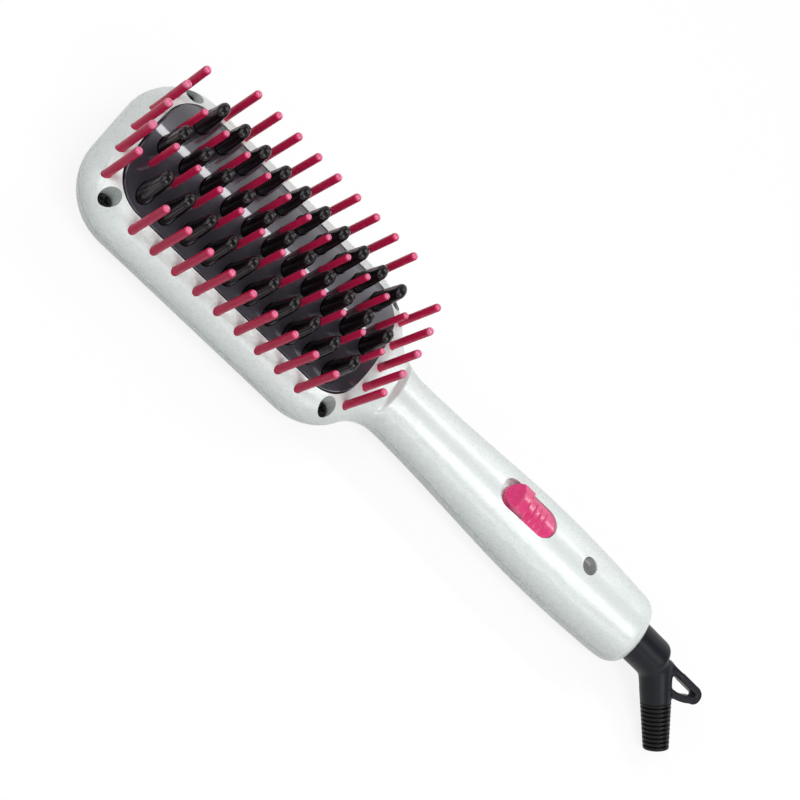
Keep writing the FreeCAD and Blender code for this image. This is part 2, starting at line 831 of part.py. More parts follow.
def swivel_walls(which):
    """The end block and the bulkhead that hold the swivel between them, trimmed later to the cover."""
    wide = f"(4 * {head_half_width})"
    block_length = "(2 * sizes.end_block)"
    block_x = f"({block_face} + sizes.end_block)"
    low = f"({seam} - {wide} / 2)"
    return [
        box(f"{which}_end_block", block_length, wide, wide, block_x, "0", low),
        box(f"{which}_bulkhead", "sizes.bulkhead", wide, wide, f"({bulkhead_back} + sizes.bulkhead / 2)",
            "0", low),
    ]


def swivel_bore(which):
    bore = rod(f"{which}_collar_bore", "sizes.collar_radius + sizes.running_clearance",
               "(2 * sizes.end_block)",
               f"{block_face} - 0.01", "0", seam)
    spigot = rod(f"{which}_spigot_bore", "sizes.spigot_radius + sizes.running_clearance",
                 "sizes.bulkhead + 0.02",
                 f"{bulkhead_back} - 0.01", "0", seam)
    return joined(f"{which}_swivel_bore", [bore, spigot])


# Bristle head

def bristle(radius, seat, tip):
    """A straight round-ended pin with its head hung under the seat."""
    head_radius = size("pin_head_radius")
    low = seat - size("pin_head_height")
    straight = tip - radius
    slant = radius * math.sqrt(0.5)
    points = [Vector(0, 0, low), Vector(head_radius, 0, low), Vector(head_radius, 0, seat),
              Vector(radius, 0, seat), Vector(radius, 0, straight)]
    edges = [Part.makeLine(start, stop) for start, stop in zip(points, points[1:])]
    edges.append(Part.Arc(points[-1], Vector(slant, 0, straight + slant), Vector(0, 0, tip)).toShape())
    edges.append(Part.makeLine(Vector(0, 0, tip), points[0]))
    return Part.Face(Part.Wire(edges)).revolve(Vector(), Vector(0, 0, 1), 360)


def outer_bristles():
    pins = []
    for spot in outer_places:
        tip = amount(seam) + face_height(spot.x, spot.y) + size("pin_length")
        pins.append(bristle(size("pin_radius"), amount(ring_bottom), tip).translated(spot))
    return feature("outer_bristles", Part.makeCompound(pins))


def inner_bristles():
    pins = []
    for spot in inner_places:
        lowest = crown_height(abs(spot.y) + size("pin_head_radius"), size("plate_wall"))
        tip = amount(seam) + size("inner_pin_tip")
        pins.append(bristle(size("inner_pin_radius"), lowest, tip).translated(spot))
    return feature("inner_bristles", Part.makeCompound(pins))


def tooth():
    """An oval tooth, turned from a slightly bulged taper and stretched across the head."""
    foot = amount(heating_bottom)
    tip = amount(tooth_tip)
    half = size("tooth_half_width")
    end = size("tooth_tip_radius")
    shoulder = tip - end
    slant = end * math.sqrt(0.5)
    start = Vector(half, 0, foot)
    stop = Vector(end, 0, shoulder)
    middle = (start + stop) * 0.5 + Vector(size("tooth_bulge"), 0, 0)
    flank = Part.Arc(start, middle, stop).toShape()
    cap = Part.Arc(stop, Vector(slant, 0, shoulder + slant), Vector(0, 0, tip)).toShape()
    axis = Part.makeLine(Vector(0, 0, tip), Vector(0, 0, foot))
    base = Part.makeLine(Vector(0, 0, foot), start)
    solid = Part.Face(Part.Wire([base, flank, cap, axis])).revolve(Vector(), Vector(0, 0, 1), 360)
    stretch = FreeCAD.Matrix()
    stretch.scale(1.0, size("tooth_stretch"), 1.0)
    return solid.transformGeometry(stretch)


def oval_slots(name, low, high):
    half = size("tooth_half_width") + size("tooth_clearance")
    long_half = size("tooth_half_width") * size("tooth_stretch") + size("tooth_clearance")
    oval = Part.Ellipse(Vector(0, long_half, low), Vector(half, 0, low), Vector(0, 0, low))
    slot = Part.Face(Part.Wire([oval.toShape()])).extrude(Vector(0, 0, high - low))
    return copies(name, slot, tooth_places)


def comb_plate():
    foot = amount(ring_top)
    outer = crowned(plate_outline(0.0, foot, through), 0.0)
    rim = [edge for edge in outer.Edges if edge.BoundBox.ZMin > foot + 1.0 and not upright(edge)]
    outer = outer.makeFillet(size("plate_edge_round"), rim)
    hollow = crowned(plate_outline(-size("skirt_wall"), foot - 1.0, through), size("plate_wall"))
    lip_reach = amount(plate_half_width) + size("plate_flange")
    lip_top = amount(seam) + face_height(0.0, lip_reach, size("wall")) - size("ring_clearance")
    thickness = size("plate_flange_thickness")
    flange = plate_outline(size("plate_flange"), lip_top - thickness, thickness)
    for spot in spots_of(head_screw_pairs, ring_top):
        flange = flange.cut(Part.makeCylinder(size("boss_radius") + size("ring_clearance"), through, spot))
    tray = outer.fuse(flange).cut(hollow)
    posts = []
    pilots = []
    for spot in spots_of(comb_screw_pairs, heating_top):
        posts.append(crowned(Part.makeCylinder(size("post_radius"), through, spot),
                             0.5 * size("plate_wall")))
        radius = size("small_screw_radius") + size("thread_clearance")
        depth = crown_height(spot.y, size("plate_wall")) - spot.z
        pilots.append(Part.makeCylinder(radius, depth, spot))
    tray = tray.fuse(posts).cut(pilots)
    notch_width = 2 * (size("wire_radius") + size("ring_clearance"))
    notch_height = lip_top - foot - thickness
    notches = [Part.makeBox(size("plate_end_margin"), notch_width, notch_height,
                            Vector(amount(plate_half_length) - size("plate_end_margin") / 2,
                                   side * size("tab_offset") - notch_width / 2, foot)) for side in (-1, 1)]
    tray = feature("plate_tray", tray.cut(notches))
    hole = Part.makeCylinder(size("inner_pin_radius") + size("pin_clearance"), through)
    holes = copies("plate_pin_holes", hole, [spot + Vector(0, 0, amount(heating_top))
                                             for spot in inner_places])
    slots = oval_slots("plate_slots", amount(heating_top) + 0.5, through)
    return cut("comb_plate", tray, joined("plate_holes", [holes, slots]))


def heating_plate():
    grow = -size("skirt_wall") - size("heating_plate_clearance")
    base = plate_outline(grow, amount(heating_bottom), size("heating_plate_thickness"))
    boss_height = f"({heating_bottom} - {lower_film_z})"
    bosses = [post(f"clamp_boss_{i}", "sizes.clamp_boss_radius", f"{boss_height} + 0.5", x, y, lower_film_z)
              for i, (x, y) in enumerate(clamp_screw_pairs)]
    solid = joined("heating_solid", [feature("heating_base", base)] + bosses)
    holes = [oval_slots("heating_slots", amount(heating_bottom) - 0.1, amount(heating_top) + 0.1)]
    holes += [post(f"clamp_pilot_{i}", "sizes.small_screw_radius + sizes.thread_clearance",
                   f"{boss_height} + 0.8 * sizes.heating_plate_thickness", x, y, lower_film_z)
              for i, (x, y) in enumerate(clamp_screw_pairs)]
    holes += [post(f"comb_clearance_{i}", "sizes.small_screw_radius + sizes.screw_clearance",
                   "2 * sizes.heating_plate_thickness", x, y, heating_bottom)
              for i, (x, y) in enumerate(comb_screw_pairs)]
    holes += [post(f"comb_counterbore_{i}", "sizes.small_head_radius + sizes.screw_clearance",
                   "sizes.small_head_height + sizes.thread_clearance", x, y, heating_bottom)
              for i, (x, y) in enumerate(comb_screw_pairs)]
    return cut("heating_plate", solid, joined("heating_holes", holes))


def bristle_ring():
    """A flat ring that follows the inside of the casing and carries the outer pins."""
    inset = size("wall") + size("ring_clearance")
    form = half_casing("ring_form", inset, True, size("outline_blunt"))
    outline = [face for face in form.Shape.Faces if face.BoundBox.ZLength < 1e-6][0]
    outline = outline.translated(Vector(0, 0, -size("ring_thickness") / 2))
    blank = feature("ring_blank", outline.extrude(Vector(0, 0, size("ring_thickness"))))
    reach = f"(2 * ({head_half_length} - sizes.wall - sizes.ring_clearance))"
    limit = box("ring_limit", reach, reach, "2 * sizes.ring_thickness", "0", "0",
                f"{seam} - sizes.ring_thickness")
    inner_length = f"({plate_half_length} - sizes.ring_overlap)"
    inner_width = f"({plate_half_width} - sizes.ring_overlap)"
    opening = slab("ring_opening", inner_length, inner_width, f"({seam} - sizes.ring_thickness)",
                   "2 * sizes.ring_thickness", "sizes.plate_corner / 2")
    holes = [post(f"ring_screw_hole_{i}", "sizes.screw_radius + sizes.screw_clearance",
                  "2 * sizes.ring_thickness",
                  x, y, f"{seam} - sizes.ring_thickness") for i, (x, y) in enumerate(head_screw_pairs)]
    hole = Part.makeCylinder(size("pin_radius") + size("pin_clearance"), 2 * size("ring_thickness"))
    lift = Vector(0, 0, amount(seam) - size("ring_thickness"))
    holes.append(copies("ring_pin_holes", hole, [spot + lift for spot in outer_places]))
    solid = common("ring_solid", blank, limit)
    return cut("bristle_ring", solid, joined("ring_holes", [opening] + holes))


# Heater stack

def heater_stack():
    film_half = f"({stack_half_length} + 1.2)"
    film_width = "(sizes.ptc_width / 2 + 1)"
    upper_film = slab("upper_insulation_film", film_half, film_width, upper_film_z, "sizes.film_thickness",
                      "1.5")
    lower_film = slab("lower_insulation_film", film_half, film_width, lower_film_z, "sizes.film_thickness",
                      "1.5")
    upper = electrode("upper_electrode", upper_electrode_z, 1)
    lower = electrode("lower_electrode", lower_electrode_z, -1)
    stone = slab("ptc_stone", "sizes.ptc_length / 2", "sizes.ptc_width / 2", ptc_z, "sizes.ptc_thickness",
                 "0.8")
    middle = (size("ptc_count") - 1) / 2
    places = [Vector((i - middle) * size("ptc_spacing"), 0, 0) for i in range(int(size("ptc_count")))]
    stones = copies("ptc_heaters", stone.Shape, places)
    clamp_half = "(4.5 * sizes.pitch + 4)"
    clamp = slab("heater_clamp", clamp_half, "sizes.clamp_half_width", clamp_z, "sizes.clamp_thickness",
                 "3")
    pierce(clamp, "clamp_holes", clamp_screw_pairs, "sizes.small_screw_radius + sizes.screw_clearance",
           "sizes.clamp_thickness", lower_film_z)
    return [upper_film, upper, stones, lower, lower_film, clamp]


def electrode(name, z, side):
    """A thin metal strip with a tab for its lead towards the neck."""
    body = new_body(name)
    sketch = new_sketch(body, f"{name}_sketch", "XY_Plane", z)
    half_width = "(sizes.ptc_width / 2)"
    tab_end = lead_end
    near = f"({side} * sizes.tab_offset - sizes.tab_width / 2)"
    far = f"({side} * sizes.tab_offset + sizes.tab_width / 2)"
    left = f"(0 - {stack_half_length})"
    corners = [(left, f"(0 - {half_width})"), (stack_half_length, f"(0 - {half_width})"),
               (stack_half_length, near),
               (tab_end, near), (tab_end, far), (stack_half_length, far), (stack_half_length, half_width),
               (left, half_width)]
    polygon(sketch, corners)
    pad(body, sketch, "sizes.electrode_thickness")
    return body


def heater_guards():
    rest = f"({heating_bottom} - 0.1)"
    fuse = rod("thermal_fuse", "sizes.fuse_radius", "sizes.fuse_length", "(2 * sizes.pitch)",
               "sizes.fuse_offset",
               f"{rest} - sizes.fuse_radius")
    sensor = rod("temperature_sensor", "sizes.sensor_radius", "sizes.sensor_length",
                 "(0 - 3 * sizes.pitch)",
                 "sizes.fuse_offset", f"{rest} - sizes.sensor_radius")
    shield_half = f"({plate_half_length} - sizes.shield_margin)"
    shield = slab("heat_shield", shield_half, "sizes.shield_half_width", "sizes.shield_height",
                  "sizes.shield_thickness", "6")
    return [fuse, sensor, shield]


# Screws

def screw(name, head_radius, head_height, radius, length, recess_width):
    """A pan-head screw with its head above the origin, a plain shank below and a cross recess."""
    point = f"(0 - ({length}))"
    profile = [("0", point), (f"{radius} * 0.6", point), (radius, f"({point} + {radius})"), (radius, "0"),
               (head_radius, "0"), (head_radius, f"{head_height} * 0.6"),
               (f"{head_radius} * 0.75", head_height), ("0", head_height)]
    body = turned(name, profile)
    before = body.Shape.Volume
    for turn, (along, across) in enumerate(((1.0, 0.22), (0.22, 1.0))):
        sketch = new_sketch(body, f"{name}_recess_sketch_{turn}", "XY_Plane", head_height)
        half_x = f"({recess_width} * {along})"
        half_y = f"({recess_width} * {across})"
        polygon(sketch, [(f"(0 - {half_x})", f"(0 - {half_y})"), (half_x, f"(0 - {half_y})"),
                         (half_x, half_y),
                         (f"(0 - {half_x})", half_y)])
        recess = body.newObject("PartDesign::Pocket", f"{name}_recess_{turn}")
        recess.Profile = sketch
        recess.setExpression("Length", f"{head_height} * 0.6")
        doc.recompute()
    if body.Shape.Volume > before - 1e-6:
        raise RuntimeError(f"{name} has no recess")
    return body


def screws():
    large = screw("large_screw", "sizes.screw_head_radius", "sizes.screw_head_height", "sizes.screw_radius",
                  "sizes.head_screw_length - sizes.thread_clearance",
                  "(sizes.screw_head_radius * 0.62)").Shape
    grip = screw("grip_screw", "sizes.screw_head_radius", "sizes.screw_head_height", "sizes.screw_radius",
                 "sizes.handle_screw_length", "(sizes.screw_head_radius * 0.62)").Shape
    clamp_length = f"({heating_bottom} - {clamp_z} + 0.7 * sizes.heating_plate_thickness)"
    small = screw("small_screw", "sizes.small_head_radius", "sizes.small_head_height",
                  "sizes.small_screw_radius",
                  clamp_length, "(sizes.small_head_radius * 0.62)").Shape
    short = screw("short_screw", "sizes.small_head_radius", "sizes.small_head_height",
                  "sizes.small_screw_radius",
                  comb_screw_length, "(sizes.small_head_radius * 0.62)").Shape
    board = screw("board_screw", "sizes.small_head_radius", "sizes.small_head_height",
                  "sizes.small_screw_radius",
                  "sizes.board_thickness + 5", "(sizes.small_head_radius * 0.62)").Shape
    over = Rotation(Vector(1, 0, 0), 180)
    grip = grip.transformed(Placement(Vector(), over).toMatrix(), True)
    small = small.transformed(Placement(Vector(), over).toMatrix(), True)
    short = short.transformed(Placement(Vector(), over).toMatrix(), True)
    head_floor = f"({heating_bottom} + sizes.small_head_height)"
    return [
        copies("head_screws", large, spots_of(head_screw_pairs, screw_seat)),
        copies("handle_screws", grip, spots_of(handle_screw_pairs, "sizes.handle_screw_seat")),
        copies("clamp_screws", small, spots_of(clamp_screw_pairs, clamp_z)),
        copies("comb_screws", short, spots_of(comb_screw_pairs, head_floor)),
        copies("board_screws", board, spots_of(board_screw_pairs, seam)),
    ]


# Switch, board and lamp

def control_board():
    body = slab("control_board", "sizes.board_length / 2", "sizes.board_width / 2", board_z,
                "sizes.board_thickness",
                "sizes.board_corner", f"({board_x} + sizes.board_length / 2)")
    pierce(body, "board_holes", board_screw_pairs, "sizes.small_screw_radius + sizes.screw_clearance",
           "sizes.board_thickness", seam)
    return body


def slide_switch():
    case = box("switch_case", "sizes.switch_length", "sizes.switch_width", "sizes.switch_height", switch_x,
               "0", seam)
    slot_length = "(sizes.lever_length + sizes.knob_travel + 2 * sizes.knob_clearance)"
    slot = box("lever_slot", slot_length, "(sizes.lever_width + 2 * sizes.knob_clearance)",
               "sizes.switch_height",
               switch_x, "0", f"({seam} + sizes.switch_height / 2)")
    return cut("slide_switch", case, slot)


def switch_lever():
    low = f"({seam} + sizes.switch_height / 2 + sizes.knob_clearance)"
    return box("switch_lever", "sizes.lever_length", "sizes.lever_width", f"({lever_top} - {low})", knob_x,
               "0", low)


def knob_crown(top, start, stop):
    """A rod along X whose upper side is the knob's crown, with its crest at a height."""
    half = size("knob_width") / 2
    fall = size("knob_crown")
    radius = (half ** 2 + fall ** 2) / (2 * fall)
    return Part.makeCylinder(radius, stop - start, Vector(start, 0, top - radius), Vector(1, 0, 0))


def knob_hump(front, low, deck):
    """The hump as a block under its crown, from the knob's sloping nose to the step behind it."""
    nose = deck - size("knob_nose_drop")
    top = deck + size("knob_hump")
    rise = size("knob_hump") / 2
    slope = size("hump_reach") / (top - nose)
    step = front + size("hump_reach") + size("hump_length")
    stop = step + size("hump_fall")
    outline = [Vector(front, 0, low), Vector(front, 0, nose),
               Vector(front + size("hump_reach") + slope * rise, 0, top + rise),
               Vector(step - size("hump_fall") / 2, 0, top + rise),
               Vector(stop, 0, deck), Vector(stop, 0, low)]
    side = Part.Face(Part.makePolygon(outline + outline[:1]))
    width = size("knob_width")
    block = side.translated(Vector(0, -width, 0)).extrude(Vector(0, 2 * width, 0))
    return block.common(knob_crown(top, front - 1.0, stop + 1.0))


def switch_knob():
    """A pill-shaped slider, crowned across, with a hump near its head end, ribs and a socketed stem."""
    x = amount(knob_x)
    front = x - size("knob_length") / 2
    rear = x + size("knob_length") / 2
    low = amount(recess_z) + size("knob_clearance")
    deck = amount(seam) + face_height(x, 0.0) - size("knob_sink")
    pill = slab("knob_pill", "sizes.knob_length / 2", "sizes.knob_width / 2",
                f"({recess_z} + sizes.knob_clearance)", "2 * sizes.recess_depth",
                "sizes.knob_width / 2 - 0.01", knob_x)
    top = knob_hump(front, low, deck).fuse(knob_crown(deck, front + size("hump_reach"), rear + 1.0))
    pieces = [top.common(pill.Shape)]
    for step in range(int(size("rib_count"))):
        rib_x = front + size("rib_reach") + step * size("rib_spacing")
        rib = Part.makeBox(size("rib_width"), size("rib_length"), 2 * size("recess_depth"),
                           Vector(rib_x - size("rib_width") / 2, -size("rib_length") / 2, low))
        pieces.append(rib.common(knob_crown(deck + size("rib_height"), front, rear)))
    stem_low = amount(seam) + size("switch_height") + size("knob_clearance")
    pieces.append(Part.makeBox(size("stem_length"), size("stem_width"), low + 0.5 - stem_low,
                               Vector(x - size("stem_length") / 2, -size("stem_width") / 2, stem_low)))
    fit = size("pin_clearance")
    socket = Part.makeBox(size("lever_length") + 2 * fit, size("lever_width") + 2 * fit,
                          amount(lever_top) + fit - stem_low,
                          Vector(x - size("lever_length") / 2 - fit, -size("lever_width") / 2 - fit,
                                 stem_low))
    return feature("switch_knob", pieces[0].fuse(pieces[1:]).cut(socket).removeSplitter())


def power_lamp():
    led_profile = [("0", "0"), ("sizes.led_radius + 0.4", "0"), ("sizes.led_radius + 0.4", "0.8"),
                   ("sizes.led_radius", "0.8"), ("sizes.led_radius", "sizes.led_height - 1"),
                   ("sizes.led_radius * 0.7", "sizes.led_height - 0.3"), ("0", "sizes.led_height")]
    led = turned("power_led", led_profile)
    bind(led, {"Placement.Base.x": lamp_x, "Placement.Base.z": seam})
    pipe_low = f"({seam} + sizes.led_height + sizes.knob_clearance)"
    lens_centre = f"({lamp_top} - sizes.lens_radius)"
    shoulder = f"({lens_centre} + sqrt(sizes.lens_radius ^ 2 - sizes.lamp_radius ^ 2))"
    pipe_rod = post("light_pipe_rod", "sizes.lamp_radius", f"{shoulder} - {pipe_low}", lamp_x, "0",
                    pipe_low)
    dome = doc.addObject("Part::Sphere", "light_pipe_dome")
    bind(dome, {"Radius": "sizes.lens_radius", "Angle1": "acos(sizes.lamp_radius / sizes.lens_radius)",
                "Placement.Base.x": lamp_x, "Placement.Base.z": lens_centre})
    return [led, joined("light_pipe", [pipe_rod, dome])]


def board_parts():
    capacitor = slab("film_capacitor", "4", "3", seam, "7", "0.8", f"({board_x} + 48)", "2.6")
    triac = slab("power_triac", "2.2", "5", seam, "6.5", "0.5", f"({board_x} + 12.5)", "0")
    chip = slab("control_chip", "2.5", "2", seam, "1.6", "0.3", f"({board_x} + 49)", "(0 - 4.4)")
    return [capacitor, triac, chip]


# Swivel and cord outlet

def swivel_elbow():
    """Spigot, flange and collar on the handle's axis, with the outlet stub and the hang loop."""
    collar_end = f"({elbow_x} + sizes.collar_overrun)"
    flange_front = f"({block_face} - sizes.flange_play)"
    flange_back = f"({bulkhead_face} + sizes.flange_play)"
    spigot_start = f"({bulkhead_back} - sizes.spigot_length)"
    profile = [(spigot_start, "0"), (spigot_start, "sizes.spigot_radius"),
               (flange_back, "sizes.spigot_radius"),
               (flange_back, "sizes.flange_radius"), (flange_front, "sizes.flange_radius"),
               (flange_front, "sizes.collar_radius"),
               (f"{collar_end} - sizes.collar_round", "sizes.collar_radius"),
               (collar_end, "sizes.collar_radius - sizes.collar_round"), (collar_end, "0")]
    barrel = turned("swivel_barrel", profile, "XZ_Plane", "H_Axis")
    bind(barrel, {"Placement.Base.z": seam})
    stub = doc.addObject("Part::Cone", "outlet_stub")
    bind(stub, {"Radius1": "sizes.relief_root_radius", "Radius2": relief_radius_at("sizes.relief_split"),
                "Height": "sizes.relief_split"})
    stub.Placement = outlet_placement()
    bind(stub, {"Placement.Base.x": elbow_x, "Placement.Base.z": seam})
    doc.recompute()
    solid = joined("swivel_solid", [barrel, stub, feature("hang_loop", hang_loop())])
    channel_radius = "(sizes.cord_radius + sizes.channel_clearance)"
    channel = rod("cord_channel", channel_radius, f"({elbow_x} - {spigot_start})", spigot_start, "0", seam)
    outlet = doc.addObject("Part::Cylinder", "outlet_channel")
    bind(outlet, {"Radius": channel_radius, "Height": "sizes.relief_split"})
    socket = doc.addObject("Part::Cylinder", "relief_socket")
    bind(socket, {"Radius": "sizes.relief_plug_radius + sizes.pin_clearance",
                  "Height": "sizes.relief_plug + sizes.pin_clearance"})
    outlet.Placement = outlet_placement()
    start = size("relief_split") - size("relief_plug") - size("pin_clearance")
    socket.Placement = outlet_placement(start)
    return cut("swivel_elbow", solid, joined("swivel_channels", [channel, outlet, socket]))


def relief_radius_at(distance):
    taper = "(sizes.relief_root_radius - sizes.relief_tip_radius) / sizes.relief_length"
    return f"(sizes.relief_root_radius - {taper} * {distance})"


def outlet_direction():
    bend = math.radians(size("elbow_angle"))
    roll = math.radians(size("elbow_roll"))
    return Vector(math.cos(bend), -math.sin(bend) * math.cos(roll), -math.sin(bend) * math.sin(roll))


def outlet_placement(distance=0.0):
    """A frame on the elbow whose Z runs out along the cord outlet and whose Y is square to the bend."""
    along = outlet_direction()
    square = Vector(1, 0, 0).cross(along).normalize()
    sideways = square.cross(along)
    turn = Rotation(sideways, square, along, "ZXY")
    elbow = Vector(amount(elbow_x), 0, amount(seam))
    return Placement(elbow + along * distance, turn)


def hang_loop():
    """A flat strap in the plane of the bend, from the collar's rim out and back to the outlet."""
    reach = size("loop_reach")
    leg = size("loop_leg_offset")
    nose = size("loop_nose_radius")
    half_band = size("loop_band") / 2
    depth = size("loop_depth")
    joint = Vector(reach, leg - 2 * nose, 0)
    landing = Vector(reach - size("loop_return"), joint.y - size("loop_sag"), 0)
    straight = Part.makeBox(reach, 2 * half_band, depth, Vector(0, leg - half_band, 0))
    nose_centre = Vector(reach, leg - nose, 0)
    bend = Part.makeCylinder(nose + half_band, depth, nose_centre, Vector(0, 0, 1), 180)
    bend = bend.cut(Part.makeCylinder(nose - half_band, depth, nose_centre))
    bend.rotate(nose_centre, Vector(0, 0, 1), -90)
    chord = landing - joint
    bulge = Vector(chord.y, -chord.x, 0).normalize() * size("loop_bulge")
    middle = (joint + landing) * 0.5 - bulge
    arc = Part.Arc(joint, middle, landing).toShape().Curve
    centre = arc.Center
    sides = []
    for offset in (half_band, -half_band):
        sides.append([centre + (point - centre).normalize() * (arc.Radius + offset)
                      for point in (joint, middle, landing)])
    far, near = sides
    outline = [Part.Arc(*far).toShape(), Part.makeLine(far[2], near[2]), Part.Arc(*near).toShape(),
               Part.makeLine(near[0], far[0])]
    back = Part.Face(Part.Wire(Part.__sortEdges__(outline))).extrude(Vector(0, 0, depth))
    knuckle = Part.makeCylinder(half_band, depth, joint)
    strap = straight.fuse([bend, back, knuckle]).removeSplitter()
    strap.translate(Vector(0, 0, -depth / 2))
    square = outlet_direction().cross(Vector(1, 0, 0)).normalize()
    turn = Rotation(Vector(1, 0, 0), square.cross(Vector(1, 0, 0)), square, "ZXY")
    strap.Placement = Placement(Vector(amount(elbow_x), 0, amount(seam)), turn)
    return strap


def strain_relief():
    """A tapered sleeve with part-round grooves, a plug into the elbow and a bore for the cord."""
    split = size("relief_split")
    length = size("relief_length")
    root = amount(relief_radius_at("sizes.relief_split"))
    cone = Part.makeCone(root, size("relief_tip_radius"), length - split, Vector(0, 0, split))
    rim = [edge for edge in cone.Edges if edge.BoundBox.ZMin > length - 0.01]
    cone = cone.makeFillet(0.5, rim)
    plug = Part.makeCylinder(size("relief_plug_radius"), size("relief_plug"),
                             Vector(0, 0, split - size("relief_plug")))
    solid = cone.fuse(plug)
    grooves = []
    for step in range(int(size("groove_count"))):
        low = split + 0.6 + step * size("groove_pitch")
        radius = amount(relief_radius_at(str(low + size("groove_width") / 2)))
        inner = radius - size("groove_depth")
        corners = [Vector(inner, 0, low), Vector(radius + 1.0, 0, low),
                   Vector(radius + 1.0, 0, low + size("groove_width")),
                   Vector(inner, 0, low + size("groove_width"))]
        face = Part.Face(Part.makePolygon(corners + corners[:1]))
        start = size("groove_turn") - size("groove_sweep") / 2
        face.rotate(Vector(), Vector(0, 0, 1), start)
        grooves.append(face.revolve(Vector(), Vector(0, 0, 1), size("groove_sweep")))
    bore = Part.makeCylinder(size("cord_radius"), 2 * length, Vector(0, 0, -length / 2))
    item = feature("strain_relief", solid.cut(grooves).cut(bore))
    item.Placement = outlet_placement()
    return item


def slip_rings():
    rings = []
    for step in range(2):
        x = amount(first_ring_x) + step * size("slip_ring_spacing")
        place = Vector(x, 0, amount(seam))
        ring = Part.makeCylinder(size("slip_ring_radius"), size("slip_ring_width"), place, Vector(1, 0, 0))
        bore = Part.makeCylinder(size("spigot_radius"), size("slip_ring_width"), place, Vector(1, 0, 0))
        rings.append(ring.cut(bore))
    return feature("slip_rings", Part.makeCompound(rings))


def contact_parts():
    """Two leaf contacts, each touching its own ring, in a holder behind the spigot."""
    inner = "(sizes.slip_ring_radius + sizes.contact_gap)"
    outer = f"({inner} + sizes.contact_thickness)"
    set_out = f"({inner} + sizes.contact_step)"
    set_out_far = f"({set_out} + sizes.contact_thickness)"
    tail = f"({holder_x} - sizes.holder_thickness / 2 - 1.5)"
    first_end = f"({first_ring_x} + sizes.slip_ring_width)"
    second_start = f"({first_ring_x} + sizes.slip_ring_spacing)"
    second_end = f"({second_start} + sizes.slip_ring_width)"
    step_x = f"({first_end} + 0.3)"
    low = f"({seam} - sizes.contact_height / 2)"
    near = new_body("first_contact")
    sketch = new_sketch(near, "first_contact_sketch", "XY_Plane", low)
    polygon(sketch, [(tail, inner), (first_end, inner), (first_end, outer), (tail, outer)])
    pad(near, sketch, "sizes.contact_height")
    far = new_body("second_contact")
    sketch = new_sketch(far, "second_contact_sketch", "XY_Plane", low)
    polygon(sketch, [(tail, f"(0 - {set_out})"), (step_x, f"(0 - {set_out})"),
                     (second_start, f"(0 - {inner})"),
                     (second_end, f"(0 - {inner})"), (second_end, f"(0 - {outer})"),
                     (f"({second_start} + 0.2)", f"(0 - {outer})"),
                     (f"({step_x} + 0.2)", f"(0 - {set_out_far})"), (tail, f"(0 - {set_out_far})")])
    pad(far, sketch, "sizes.contact_height")
    contacts = feature("contact_springs", Part.makeCompound([near.Shape, far.Shape]))
    block = box("holder_block", "sizes.holder_thickness", "sizes.board_width + 2", holder_height, holder_x,
                "0", holder_z)
    slot_height = "(sizes.contact_height + 2 * sizes.pin_clearance)"
    slot_z = f"({low} - sizes.pin_clearance)"
    slot_width = "(sizes.contact_thickness + 2 * sizes.pin_clearance)"
    slots = [box(f"holder_slot_{i}", "2 * sizes.holder_thickness", slot_width, slot_height, holder_x, y,
                 slot_z)
             for i, y in enumerate((f"({inner} + {outer}) / 2", f"(0 - ({set_out} + {set_out_far}) / 2)"))]
    holder = cut("contact_holder", block, joined("holder_slots", slots))
    return [contacts, holder]


# Leads

def wire(points, radius):
    """A round wire along straight runs joined by arcs."""
    edges = []
    start = points[0]
    for index in range(1, len(points) - 1):
        corner = points[index]
        into = (corner - points[index - 1]).normalize()
        out = (points[index + 1] - corner).normalize()
        turn = into.getAngle(out)
        shorter = min((corner - points[index - 1]).Length, (points[index + 1] - corner).Length)
        reach = 0.45 * shorter
        bend = reach / math.tan(turn / 2)
        first = corner - into * reach
        last = corner + out * reach
        towards = (out - into).normalize()
        middle = corner + towards * (math.hypot(bend, reach) - bend)
        if (first - start).Length > 1e-6:
            edges.append(Part.makeLine(start, first))
        edges.append(Part.Arc(first, middle, last).toShape())
        start = last
    edges.append(Part.makeLine(start, points[-1]))
    path = Part.Wire(edges)
    direction = (points[1] - points[0]).normalize()
    ring = Part.Wire([Part.makeCircle(radius, points[0], direction)])
    return path.makePipeShell([ring], True, False)


def heater_leads():
    radius = size("wire_radius")
    on_board = amount(seam) + radius + size("pin_clearance")
    reach = radius + size("pin_clearance")
    wires = []
    for side, height in ((1, amount(upper_electrode_z) - reach),
                         (-1, amount(lower_electrode_z) + size("electrode_thickness") + reach)):
        points = [Vector(amount(board_x) + 2.0, side * 5.6, on_board),
                  Vector(amount(neck_screw_x) - 6.0, side * 5.6, on_board),
                  Vector(amount(end_row) + 8.0, side * size("tab_offset"), height),
                  Vector(amount(lead_end) - 3.0, side * size("tab_offset"), height)]
        wires.append(wire(points, radius))
    return feature("heater_leads", Part.makeCompound(wires))


def supply_leads():
    radius = size("wire_radius")
    on_board = amount(seam) + radius + size("pin_clearance")
    inner = size("slip_ring_radius") + size("contact_gap") + size("contact_thickness") / 2
    tail = amount(holder_x) - size("holder_thickness") / 2 - 1.5 - size("pin_clearance")
    wires = []
    for side, offset in ((1, inner), (-1, inner + size("contact_step"))):
        points = [Vector(amount(board_end) - 3.0, side * 5.2, on_board),
                  Vector(amount(board_end) + 1.5, side * 5.2, on_board),
                  Vector(tail - 3.0, side * offset, amount(seam)),
                  Vector(tail, side * offset, amount(seam))]
        wires.append(wire(points, radius))
    return feature("supply_leads", Part.makeCompound(wires))


